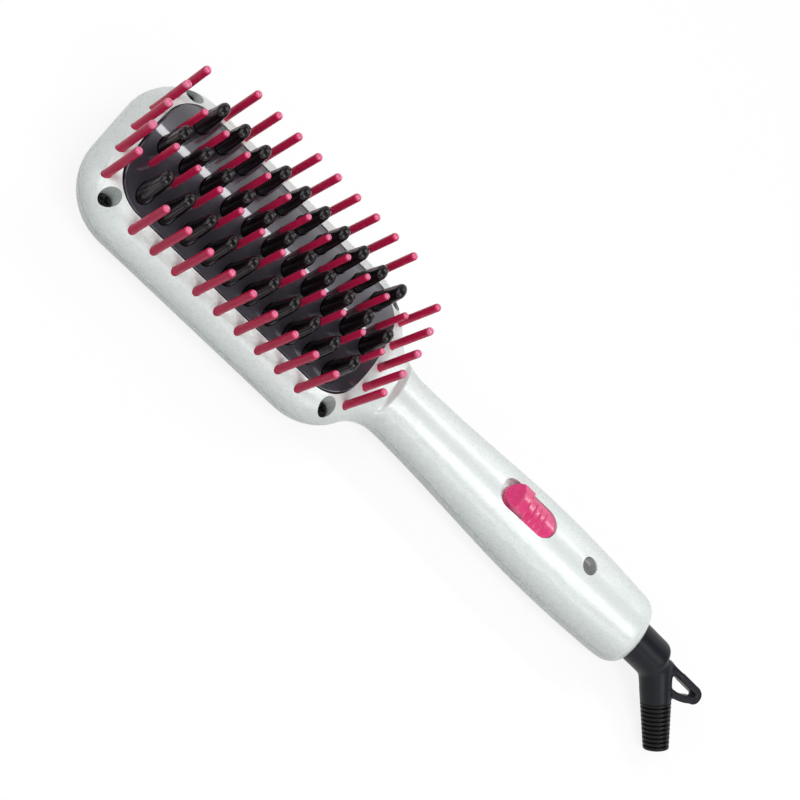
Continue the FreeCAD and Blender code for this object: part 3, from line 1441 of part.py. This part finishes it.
# Heights and places that follow the curved face
face_at_switch = face_height(amount(knob_x), 0.0)
face_at_lamp = face_height(amount(lamp_x), 0.0)
recess_z = f"({seam} + {face_at_switch} - sizes.recess_depth)"
lever_top = f"({recess_z} + sizes.knob_clearance)"
lamp_top = f"({seam} + {face_at_lamp} - sizes.lamp_recess)"
lamp_tube_z = f"({seam} + sizes.led_height + 1)"
neck_face = face_height(amount(neck_screw_x), 0.0, size("wall"))
handle_pilot = f"({neck_face} - 0.5)"
lead_end = f"({plate_half_length} - 4.2)"
plate_roof = crown_height(size("row_spacing"), size("plate_wall"))
comb_screw_length = f"({plate_roof} - 0.4 - {heating_bottom} - sizes.small_head_height)"
first_ring_x = f"({bulkhead_back} - sizes.spigot_length + 1)"
holder_x = f"({bulkhead_back} - sizes.spigot_length - sizes.holder_thickness / 2 - 0.6)"
holder_z = f"({seam} - 6)"
holder_height = "10"

nodes = {}


def keep(label, item):
    item.Label = label
    nodes[label] = item


keep("front_cover", front_cover())
keep("back_cover", back_cover())
keep("comb_plate", comb_plate())
keep("comb_teeth", copies("comb_teeth", tooth(), tooth_places))
keep("heating_plate", heating_plate())
keep("inner_bristles", inner_bristles())
keep("outer_bristles", outer_bristles())
keep("bristle_ring", bristle_ring())
stack_names = ("upper_insulation_film", "upper_electrode", "ptc_heaters", "lower_electrode",
               "lower_insulation_film", "heater_clamp")
for label, item in zip(stack_names, heater_stack()):
    keep(label, item)
for label, item in zip(("thermal_fuse", "temperature_sensor", "heat_shield"), heater_guards()):
    keep(label, item)
for label, item in zip(("head_screws", "handle_screws", "clamp_screws", "comb_screws", "board_screws"),
                       screws()):
    keep(label, item)
keep("control_board", control_board())
keep("slide_switch", slide_switch())
keep("switch_lever", switch_lever())
keep("switch_knob", switch_knob())
for label, item in zip(("power_led", "light_pipe"), power_lamp()):
    keep(label, item)
for label, item in zip(("film_capacitor", "power_triac", "control_chip"), board_parts()):
    keep(label, item)
keep("swivel_elbow", swivel_elbow())
keep("strain_relief", strain_relief())
keep("slip_rings", slip_rings())
for label, item in zip(("contact_springs", "contact_holder"), contact_parts()):
    keep(label, item)
keep("heater_leads", heater_leads())
keep("supply_leads", supply_leads())

doc.recompute()
for item in doc.Objects:
    if "Invalid" in item.State or "Error" in item.State:
        raise RuntimeError(f"{item.Name} failed: {item.State}")
os.makedirs("parts", exist_ok=True)
for label, item in nodes.items():
    shape = item.Shape
    if shape.isNull() or not shape.isValid() or not shape.Solids:
        raise RuntimeError(f"{label} has no valid solid")
for label, item in nodes.items():
    item.Shape.exportStep(f"parts/{label}.step")
    box_of = item.Shape.BoundBox
    print(f"{label}: {len(item.Shape.Solids)} solids, {item.Shape.Volume:.1f} mm3,",
          f"x {box_of.XMin:.1f}..{box_of.XMax:.1f}, y {box_of.YMin:.1f}..{box_of.YMax:.1f},",
          f"z {box_of.ZMin:.1f}..{box_of.ZMax:.1f}")
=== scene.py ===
import math

import bmesh
import bpy
from mathutils import Matrix, Vector


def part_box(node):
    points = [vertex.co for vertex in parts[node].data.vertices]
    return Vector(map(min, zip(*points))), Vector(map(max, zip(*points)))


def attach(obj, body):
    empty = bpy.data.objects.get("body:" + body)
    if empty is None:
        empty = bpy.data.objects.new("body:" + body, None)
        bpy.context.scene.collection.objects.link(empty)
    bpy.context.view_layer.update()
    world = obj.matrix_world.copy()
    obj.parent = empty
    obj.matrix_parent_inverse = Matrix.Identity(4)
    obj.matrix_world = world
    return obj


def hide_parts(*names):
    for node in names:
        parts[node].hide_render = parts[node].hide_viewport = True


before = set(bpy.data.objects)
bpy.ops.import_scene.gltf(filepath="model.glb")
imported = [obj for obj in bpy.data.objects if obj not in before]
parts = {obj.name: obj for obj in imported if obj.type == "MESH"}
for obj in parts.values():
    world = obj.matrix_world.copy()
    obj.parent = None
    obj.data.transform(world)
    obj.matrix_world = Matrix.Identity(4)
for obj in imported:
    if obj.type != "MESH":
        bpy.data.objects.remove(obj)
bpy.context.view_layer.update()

print("loaded", len(parts), "CAD nodes")


class Wire:  # one socket; sums on it become Math nodes
    def __init__(self, graph, socket):
        self.graph = graph
        self.socket = socket

    def sum(self, operation, *values):
        return self.graph.node("ShaderNodeMath", {"operation": operation}, dict(enumerate(values)))

    def __add__(self, other):
        return self.sum("ADD", self, other)

    def __radd__(self, other):
        return self.sum("ADD", other, self)

    def __sub__(self, other):
        return self.sum("SUBTRACT", self, other)

    def __rsub__(self, other):
        return self.sum("SUBTRACT", other, self)

    def __mul__(self, other):
        return self.sum("MULTIPLY", self, other)

    def __rmul__(self, other):
        return self.sum("MULTIPLY", other, self)

    def limited(self):
        return self.graph.node("ShaderNodeClamp", {}, {"Value": self})

    def mean(self, other):
        return (self * 0.5 + other * 0.5).limited()

    def ranged(self, low, high):  # zero to one becomes low to high
        return self * (high - low) + low


class Graph:  # a node tree with one way to add nodes
    def __init__(self, tree):
        self.tree = tree

    def node(self, kind, settings, sockets, output=0):
        made = self.tree.nodes.new(kind)
        for key, value in settings.items():
            setattr(made, key, value)
        for key, value in sockets.items():
            if isinstance(value, Wire):
                self.tree.links.new(value.socket, made.inputs[key])
            else:
                made.inputs[key].default_value = value
        return Wire(self, made.outputs[output])

    def between(self, value, low, high):
        return self.node("ShaderNodeMapRange", {"interpolation_type": "SMOOTHSTEP"},
                         {"Value": value, "From Min": low, "From Max": high})

    def seen(self):  # one for rays from the camera and for what gloss and glass show of the background
        rays = [self.node("ShaderNodeLightPath", {}, {}, f"Is {kind} Ray")
                for kind in ("Camera", "Glossy", "Transmission")]
        return (rays[0] + rays[1] + rays[2]).limited()


class Finish(Graph):  # one material
    def __init__(self, name, fixed):
        self.material = bpy.data.materials.new(name)
        self.material.use_nodes = True
        Graph.__init__(self, self.material.node_tree)
        self.shader = self.tree.nodes["Principled BSDF"]
        for socket, value in fixed.items():
            self.shader.inputs[socket].default_value = value
        self.place = self.node("ShaderNodeTexCoord", {}, {}, "Object")

    def noise(self, scale, detail=2.0, roughness=0.5):
        return self.node("ShaderNodeTexNoise", {}, {"Vector": self.place, "Scale": scale, "Detail": detail,
                                                    "Roughness": roughness})

    def cells(self, scale):
        patch = self.node("ShaderNodeTexVoronoi", {}, {"Vector": self.place, "Scale": scale}, "Color")
        return self.node("ShaderNodeSeparateColor", {}, {"Color": patch}, "Red")

    def axis(self, name):
        return self.node("ShaderNodeSeparateXYZ", {}, {"Vector": self.place}, name)

    def tint(self, share, dark, light):  # 6, 7 and output 2 are the Mix node's colours
        return self.node("ShaderNodeMix", {"data_type": "RGBA"}, {"Factor": share, 6: dark, 7: light}, 2)

    def feed(self, socket, wire):
        self.tree.links.new(wire.socket, self.shader.inputs[socket])

    def bump(self, height, strength, depth):
        sockets = {"Height": height, "Strength": strength, "Distance": depth}
        self.feed("Normal", self.node("ShaderNodeBump", {}, sockets))


def colour(red, green, blue):
    return (red, green, blue, 1.0)


def dress(finish, *names):
    for name in names:
        mesh = parts[name].data
        mesh.materials.clear()
        mesh.materials.append(finish.material)


# working of the pieces that are made from solids, in metres
shaping = {
    "weld": 1e-6,  # points closer than this become one
    "easeShare": 0.5,  # how far one pass moves a point towards its neighbours
    "topTilt": 0.5,  # a point whose normal rises more than this is on top
    "fadePower": 4,  # how sharply a ridge ends at its sides
}


def added(name, data):
    thing = bpy.data.objects.new(name, data)
    bpy.context.scene.collection.objects.link(thing)
    return thing


def copied(node, name):
    mesh = parts[node].data.copy()
    work = bmesh.new()
    work.from_mesh(mesh)
    bmesh.ops.remove_doubles(work, verts=work.verts, dist=shaping["weld"])
    work.to_mesh(mesh)
    work.free()
    return added(name, mesh)


def applied(piece):  # modifiers become mesh
    depsgraph = bpy.context.evaluated_depsgraph_get()
    mesh = bpy.data.meshes.new_from_object(piece.evaluated_get(depsgraph))
    piece.modifiers.clear()
    piece.data = mesh


def settled(piece, finish, node, body):
    applied(piece)
    mesh = piece.data
    mesh.materials.clear()
    mesh.materials.append(finish.material)
    mesh.polygons.foreach_set("use_smooth", [True] * len(mesh.polygons))
    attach(piece, body)
    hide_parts(node)
    print(piece.name, len(mesh.polygons), "faces")


def smoothing(piece, passes):
    ease = piece.modifiers.new("ease", "SMOOTH")
    ease.factor = shaping["easeShare"]
    ease.iterations = passes
    return ease


def softened(node, name, soft):  # a moulded piece with rounded edges, from its CAD solid
    piece = copied(node, name)
    remesh = piece.modifiers.new("grid", "REMESH")
    remesh.mode = "VOXEL"
    remesh.voxel_size = soft["grid"]
    smoothing(piece, soft["passes"])
    return piece


def ridged(piece, lines, rise, spread, reach):  # raises the top of a piece along lines across it
    mesh = piece.data
    for vertex in [vertex for vertex in mesh.vertices if vertex.normal.z > shaping["topTilt"]]:
        fade = max(0.0, 1.0 - (vertex.co.y / reach) ** shaping["fadePower"])
        for line in lines:
            vertex.co.z += rise * fade * math.exp(-((vertex.co.x - line) / spread) ** 2)
    mesh.update()


def eased(piece, chosen, passes):  # smooths the part of a piece that a test picks
    group = piece.vertex_groups.new(name="bend")
    group.add([vertex.index for vertex in piece.data.vertices if chosen(vertex.co)], 1.0, "REPLACE")
    smoothing(piece, passes).vertex_group = "bend"
    applied(piece)
    piece.vertex_groups.clear()


# casing: pearl white plastic with fine flake under a clear coat
pearl = {
    "shade": colour(0.77, 0.83, 0.81),
    "light": colour(0.84, 0.895, 0.88),
    "flakeScale": 2600.0,
    "driftScale": 45.0,
    "roughness": (0.24, 0.44),
    "metal": 0.42,
    "sparkleScale": 3200.0,
    "sparkle": (0.12, 0.00006),  # bump strength, depth
    "fixed": {"Coat Weight": 0.3, "Coat Roughness": 0.2},
}


def pearlFinish():
    finish = Finish("pearlWhite", pearl["fixed"])
    flake = finish.cells(pearl["flakeScale"])
    drift = finish.noise(pearl["driftScale"])
    finish.feed("Base Color", finish.tint(flake.mean(drift), pearl["shade"], pearl["light"]))
    finish.feed("Roughness", flake.ranged(*pearl["roughness"]))
    finish.feed("Metallic", flake * flake * pearl["metal"])
    finish.bump(finish.noise(pearl["sparkleScale"], 1.0), *pearl["sparkle"])
    return finish


dress(pearlFinish(), "front_cover", "back_cover")
print("casing dressed")


# comb plate: dark satin coating, a little violet, under a clear gloss
plate = {
    "dark": colour(0.034, 0.029, 0.036),
    "light": colour(0.052, 0.046, 0.058),
    "grainScale": 2600.0,
    "cloudScale": 60.0,
    "roughness": (0.24, 0.36),
    "fixed": {"Metallic": 0.4, "Coat Weight": 0.8, "Coat Roughness": 0.05, "Coat IOR": 1.7,
              "Coat Tint": colour(0.90, 0.89, 1.0)},
}


def plateFinish():
    finish = Finish("plateCoating", plate["fixed"])
    grain = finish.noise(plate["grainScale"], 3.0)
    cloud = finish.noise(plate["cloudScale"])
    finish.feed("Base Color", finish.tint(grain.mean(cloud), plate["dark"], plate["light"]))
    finish.feed("Roughness", grain.ranged(*plate["roughness"]))
    return finish


dress(plateFinish(), "comb_plate")


# teeth: glossy black moulding
teeth = {
    "dark": colour(0.004, 0.003, 0.004),
    "light": colour(0.011, 0.008, 0.010),
    "flowScale": 400.0,
    "roughness": (0.2, 0.3),
    "fixed": {"Coat Weight": 0.3, "Coat Roughness": 0.08, "Specular IOR Level": 0.2},
}


def toothFinish():
    finish = Finish("toothBlack", teeth["fixed"])
    flow = finish.noise(teeth["flowScale"])
    finish.feed("Base Color", finish.tint(flow, teeth["dark"], teeth["light"]))
    finish.feed("Roughness", flow.ranged(*teeth["roughness"]))
    return finish


dress(toothFinish(), "comb_teeth")


# pins: crimson nylon with a glossier coat at the rounded tip, where a paler pink is painted on as a highlight
pins = {
    "dark": colour(0.64, 0.011, 0.078),
    "light": colour(0.78, 0.024, 0.120),
    # paler pink painted on as a highlight at the rounded tip of each pin
    "tip": colour(0.86, 0.13, 0.30),
    "tipHeights": {"outer_bristles": 0.0394, "inner_bristles": 0.0386},
    "tipReach": 0.0010,
    "gloss": (0.05, 1.0),  # coat on the shaft and at the tip
    "flowScale": 900.0,
    "roughness": (0.2, 0.3),
    "fixed": {"Coat Roughness": 0.05, "Coat IOR": 1.8, "Specular IOR Level": 0.12},
}


def pinFinish(name, tipHeight):
    finish = Finish(name, pins["fixed"])
    flow = finish.noise(pins["flowScale"])
    shaft = finish.tint(flow, pins["dark"], pins["light"])
    tipShare = finish.between(finish.axis("Z"), tipHeight - pins["tipReach"], tipHeight)
    # the top of each pin takes the painted highlight colour, and its coat grows glossier there
    finish.feed("Base Color", finish.tint(tipShare, shaft, pins["tip"]))
    finish.feed("Coat Weight", tipShare.ranged(*pins["gloss"]))
    finish.feed("Roughness", flow.ranged(*pins["roughness"]))
    return finish


dress(pinFinish("outerPinCrimson", pins["tipHeights"]["outer_bristles"]), "outer_bristles")
dress(pinFinish("innerPinCrimson", pins["tipHeights"]["inner_bristles"]), "inner_bristles")
print("head dressed")


# slide knob: hot pink, glossy, all edges rounded
knob = {
    "dark": colour(0.71, 0.038, 0.172),
    "light": colour(0.82, 0.064, 0.232),
    "soft": {"grid": 0.00008, "passes": 9},
    "crests": [0.0045, 0.0077],  # from the nose
    "ribs": [0.0114, 0.0136, 0.0158],
    "ridge": (0.00022, 0.00028, 0.0040),  # rise, spread along the knob, half reach across it
    "flowScale": 500.0,
    "roughness": (0.22, 0.32),
    "fixed": {"Coat Weight": 0.5, "Coat Roughness": 0.12},
}


def knobFinish():
    finish = Finish("knobPink", knob["fixed"])
    flow = finish.noise(knob["flowScale"])
    finish.feed("Base Color", finish.tint(flow, knob["dark"], knob["light"]))
    finish.feed("Roughness", flow.ranged(*knob["roughness"]))
    return finish


def makeKnob():
    slideKnob = softened("switch_knob", "slideKnob", knob["soft"])
    settled(slideKnob, knobFinish(), "switch_knob", "switch_slider")
    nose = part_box("switch_knob")[0][0]
    ridged(slideKnob, [nose + away for away in knob["crests"] + knob["ribs"]], *knob["ridge"])


makeKnob()


# outlet and sleeve: blue-black rubber, the sleeve a little darker
rubber = {
    "outletRubber": (colour(0.005, 0.006, 0.009), colour(0.011, 0.012, 0.018)),
    "sleeveRubber": (colour(0.002, 0.002, 0.0023), colour(0.005, 0.005, 0.006)),
    "grainScale": 3500.0,
    "roughness": (0.30, 0.46),
    "grain": (0.12, 0.00006),  # bump strength, depth
    "soft": {"grid": 0.00025, "passes": 12},
    "elbow": (0.1908, 0.0, 0.0120),  # where the collar's axis meets the outlet's
    "blend": {"reach": 0.0105, "collar": 0.0074, "outlet": 0.0064, "passes": 120},
    "fixed": {"Specular IOR Level": 0.22},
}


def rubberFinish(name):
    finish = Finish(name, rubber["fixed"])
    grain = finish.noise(rubber["grainScale"], 3.0, 0.6)
    finish.feed("Base Color", finish.tint(grain, *rubber[name]))
    finish.feed("Roughness", grain.ranged(*rubber["roughness"]))
    finish.bump(grain, *rubber["grain"])
    return finish


def makeOutlet():
    blend = rubber["blend"]
    elbow = Vector(rubber["elbow"])
    sleeveLow, sleeveHigh = (Vector(corner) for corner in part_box("strain_relief"))
    outletWay = ((sleeveLow + sleeveHigh) / 2 - elbow).normalized()

    def inElbow(point):  # near the bend, but not on the hanging loop
        away = point - elbow
        offCollar = math.hypot(away.y, away.z)
        offOutlet = (away - outletWay * away.dot(outletWay)).length
        nearAxis = offCollar < blend["collar"] or offOutlet < blend["outlet"]
        return nearAxis and away.length < blend["reach"]

    cordOutlet = softened("swivel_elbow", "cordOutlet", rubber["soft"])
    settled(cordOutlet, rubberFinish("outletRubber"), "swivel_elbow", "cord_swivel_body")
    eased(cordOutlet, inElbow, blend["passes"])


makeOutlet()
dress(rubberFinish("sleeveRubber"), "strain_relief")
print("knob and outlet made")


# small plain finishes, each with a little grain: dark, light, grain scale, roughness, metal
plain = {
    "screwBlack": (colour(0.008, 0.008, 0.009), colour(0.022, 0.022, 0.024), 2500.0, 0.34, 0.6),
    "lampGrey": (colour(0.14, 0.145, 0.138), colour(0.20, 0.205, 0.195), 1200.0, 0.24, 0.0),
    "ringGrey": (colour(0.20, 0.20, 0.21), colour(0.30, 0.30, 0.31), 1800.0, 0.55, 0.0),
    "millAluminium": (colour(0.52, 0.53, 0.55), colour(0.70, 0.71, 0.73), 1500.0, 0.35, 1.0),
    "amberFilm": (colour(0.42, 0.19, 0.03), colour(0.55, 0.28, 0.06), 900.0, 0.3, 0.0),
    "stampedBrass": (colour(0.55, 0.38, 0.14), colour(0.72, 0.53, 0.24), 1600.0, 0.3, 1.0),
    "ptcCeramic": (colour(0.24, 0.24, 0.25), colour(0.36, 0.36, 0.37), 2200.0, 0.7, 0.0),
    "zincSteel": (colour(0.48, 0.49, 0.52), colour(0.64, 0.65, 0.67), 1800.0, 0.32, 1.0),
    "fuseSleeve": (colour(0.72, 0.70, 0.64), colour(0.84, 0.82, 0.77), 1500.0, 0.6, 0.0),
    "sensorBead": (colour(0.40, 0.20, 0.12), colour(0.58, 0.32, 0.20), 900.0, 0.15, 0.0),
    "boardGreen": (colour(0.02, 0.16, 0.07), colour(0.05, 0.26, 0.12), 700.0, 0.35, 0.0),
    "componentBlack": (colour(0.015, 0.015, 0.017), colour(0.04, 0.04, 0.044), 2000.0, 0.5, 0.0),
    "capacitorYellow": (colour(0.62, 0.44, 0.06), colour(0.75, 0.56, 0.11), 800.0, 0.3, 0.0),
    "leverWhite": (colour(0.70, 0.70, 0.67), colour(0.80, 0.80, 0.77), 900.0, 0.45, 0.0),
    "clearLens": (colour(0.66, 0.70, 0.72), colour(0.76, 0.79, 0.81), 600.0, 0.12, 0.0),
    "leadSleeve": (colour(0.66, 0.65, 0.61), colour(0.78, 0.77, 0.73), 1400.0, 0.5, 0.0),
}
plainGrain = {"spread": 0.08, "bump": (0.05, 0.00005)}  # roughness either way; bump strength, depth


def plainFinish(name):
    dark, light, scale, roughness, metal = plain[name]
    finish = Finish(name, {"Metallic": metal})
    grain = finish.noise(scale, 3.0)
    finish.feed("Base Color", finish.tint(grain, dark, light))
    finish.feed("Roughness", grain.ranged(roughness - plainGrain["spread"], roughness + plainGrain["spread"]))
    finish.bump(grain, *plainGrain["bump"])
    return finish


plainUse = {
    "screwBlack": ["head_screws", "handle_screws"],
    "lampGrey": ["light_pipe"],
    "ringGrey": ["bristle_ring", "contact_holder"],
    "millAluminium": ["heating_plate", "heat_shield"],
    "amberFilm": ["upper_insulation_film", "lower_insulation_film"],
    "stampedBrass": ["upper_electrode", "lower_electrode", "contact_springs", "slip_rings"],
    "ptcCeramic": ["ptc_heaters"],
    "zincSteel": ["heater_clamp", "clamp_screws", "comb_screws", "board_screws"],
    "fuseSleeve": ["thermal_fuse"],
    "sensorBead": ["temperature_sensor"],
    "boardGreen": ["control_board"],
    "componentBlack": ["slide_switch", "power_triac", "control_chip"],
    "capacitorYellow": ["film_capacitor"],
    "leverWhite": ["switch_lever"],
    "clearLens": ["power_led"],
    "leadSleeve": ["heater_leads", "supply_leads"],
}
for name, names in plainUse.items():
    dress(plainFinish(name), *names)
print("inner pieces dressed")


# floor: white to the eye, grey to the light that it throws back, with a share that keeps the shadow
stage = {
    "size": 4.0,
    "drop": 0.0002,
    "shadowShare": 0.18,
    "paper": colour(0.9, 0.9, 0.9),
    "paperRoughness": 0.9,
    "bounce": colour(0.08, 0.08, 0.08),
    "white": 1.03,
    "ambient": 0.08,
    "horizon": (0.35, 0.60),  # heights between which the white gives way to the ceiling
}


def layFloor():
    mesh = bpy.data.meshes.new("paleFloor")
    half = stage["size"] / 2
    outline = ((-half, -half), (half, -half), (half, half), (-half, half))
    mesh.from_pydata([(x, y, -stage["drop"]) for x, y in outline], [], [(0, 1, 2, 3)])
    floor = added("paleFloor", mesh)
    finish = Finish("floorPaper", {"Base Color": stage["paper"], "Roughness": stage["paperRoughness"]})
    glow = finish.node("ShaderNodeEmission", {}, {"Strength": stage["white"]})
    grey = finish.node("ShaderNodeBsdfDiffuse", {}, {"Color": stage["bounce"]})
    paper = Wire(finish, finish.shader.outputs[0])
    shown = finish.node("ShaderNodeMixShader", {}, {0: stage["shadowShare"], 1: glow, 2: paper})
    mixed = finish.node("ShaderNodeMixShader", {}, {0: finish.seen(), 1: grey, 2: shown})
    finish.tree.links.new(mixed.socket, finish.tree.nodes["Material Output"].inputs["Surface"])
    mesh.materials.append(finish.material)


def paintWorld():  # white round the horizon, a dim ceiling
    world = bpy.data.worlds.new("studio")
    bpy.context.scene.world = world
    world.use_nodes = True
    graph = Graph(world.node_tree)
    back = graph.tree.nodes["Background"]
    back.inputs["Color"].default_value = colour(1.0, 1.0, 1.0)
    direction = graph.node("ShaderNodeTexCoord", {}, {}, "Generated")
    height = graph.node("ShaderNodeSeparateXYZ", {}, {"Vector": direction}, "Z")
    low = 1.0 - graph.between(height, *stage["horizon"])
    strength = graph.seen() * low * (1.0 - stage["ambient"]) + stage["ambient"]
    graph.tree.links.new(strength.socket, back.inputs["Strength"])


layFloor()
paintWorld()


# soft boxes: place, aim, length along X, width, watts
lamps = {
    "keyBox": ((0.29, 0.64, 0.52), (0.0, 0.0, 0.02), 0.60, 0.45, 0.7),
    "plateStrip": ((0.18, 0.498, 0.65), (-0.05, 0.0, 0.024), 0.72, 0.07, 1.5),
    "topBox": ((0.30, -0.29, 0.84), (0.06, 0.0, 0.02), 1.00, 0.36, 4.5),
    "frontBox": ((0.34, -0.62, 0.45), (0.08, 0.0, 0.02), 0.90, 0.20, 1.0),
    "fillBox": ((-0.62, -0.10, 0.60), (-0.04, 0.0, 0.02), 0.60, 0.70, 3.2),
}


def turned(thing, place, right, up, back):
    turn = Matrix((right, up, back)).transposed()
    thing.matrix_world = Matrix.Translation(place) @ turn.to_4x4()


def hangLamps():
    for name, (place, aim, length, width, watts) in lamps.items():
        data = bpy.data.lights.new(name, "AREA")
        data.shape = "RECTANGLE"
        data.size = length
        data.size_y = width
        data.energy = watts
        back = (Vector(place) - Vector(aim)).normalized()
        side = (Vector((1.0, 0.0, 0.0)) - back * back.x).normalized()
        turned(added(name, data), place, side, back.cross(side), back)


hangLamps()
print("stage lit")


# camera fitted to the bristle grid
view = {
    "place": (-0.09136, -0.23496, 0.37128),
    "right": (0.6700, 0.4530, 0.5881),
    "up": (-0.6607, 0.7251, 0.1942),
    "back": (-0.3385, -0.5186, 0.7851),
    "lens": 68.21,
    "sensor": 36.0,
    "nearest": 0.01,
}


def setCamera():
    data = bpy.data.cameras.new("studioCamera")
    data.lens = view["lens"]
    data.sensor_width = view["sensor"]
    data.clip_start = view["nearest"]
    camera = added("studioCamera", data)
    turned(camera, view["place"], view["right"], view["up"], view["back"])
    bpy.context.scene.camera = camera


setCamera()
bpy.context.scene.view_settings.view_transform = "Standard"
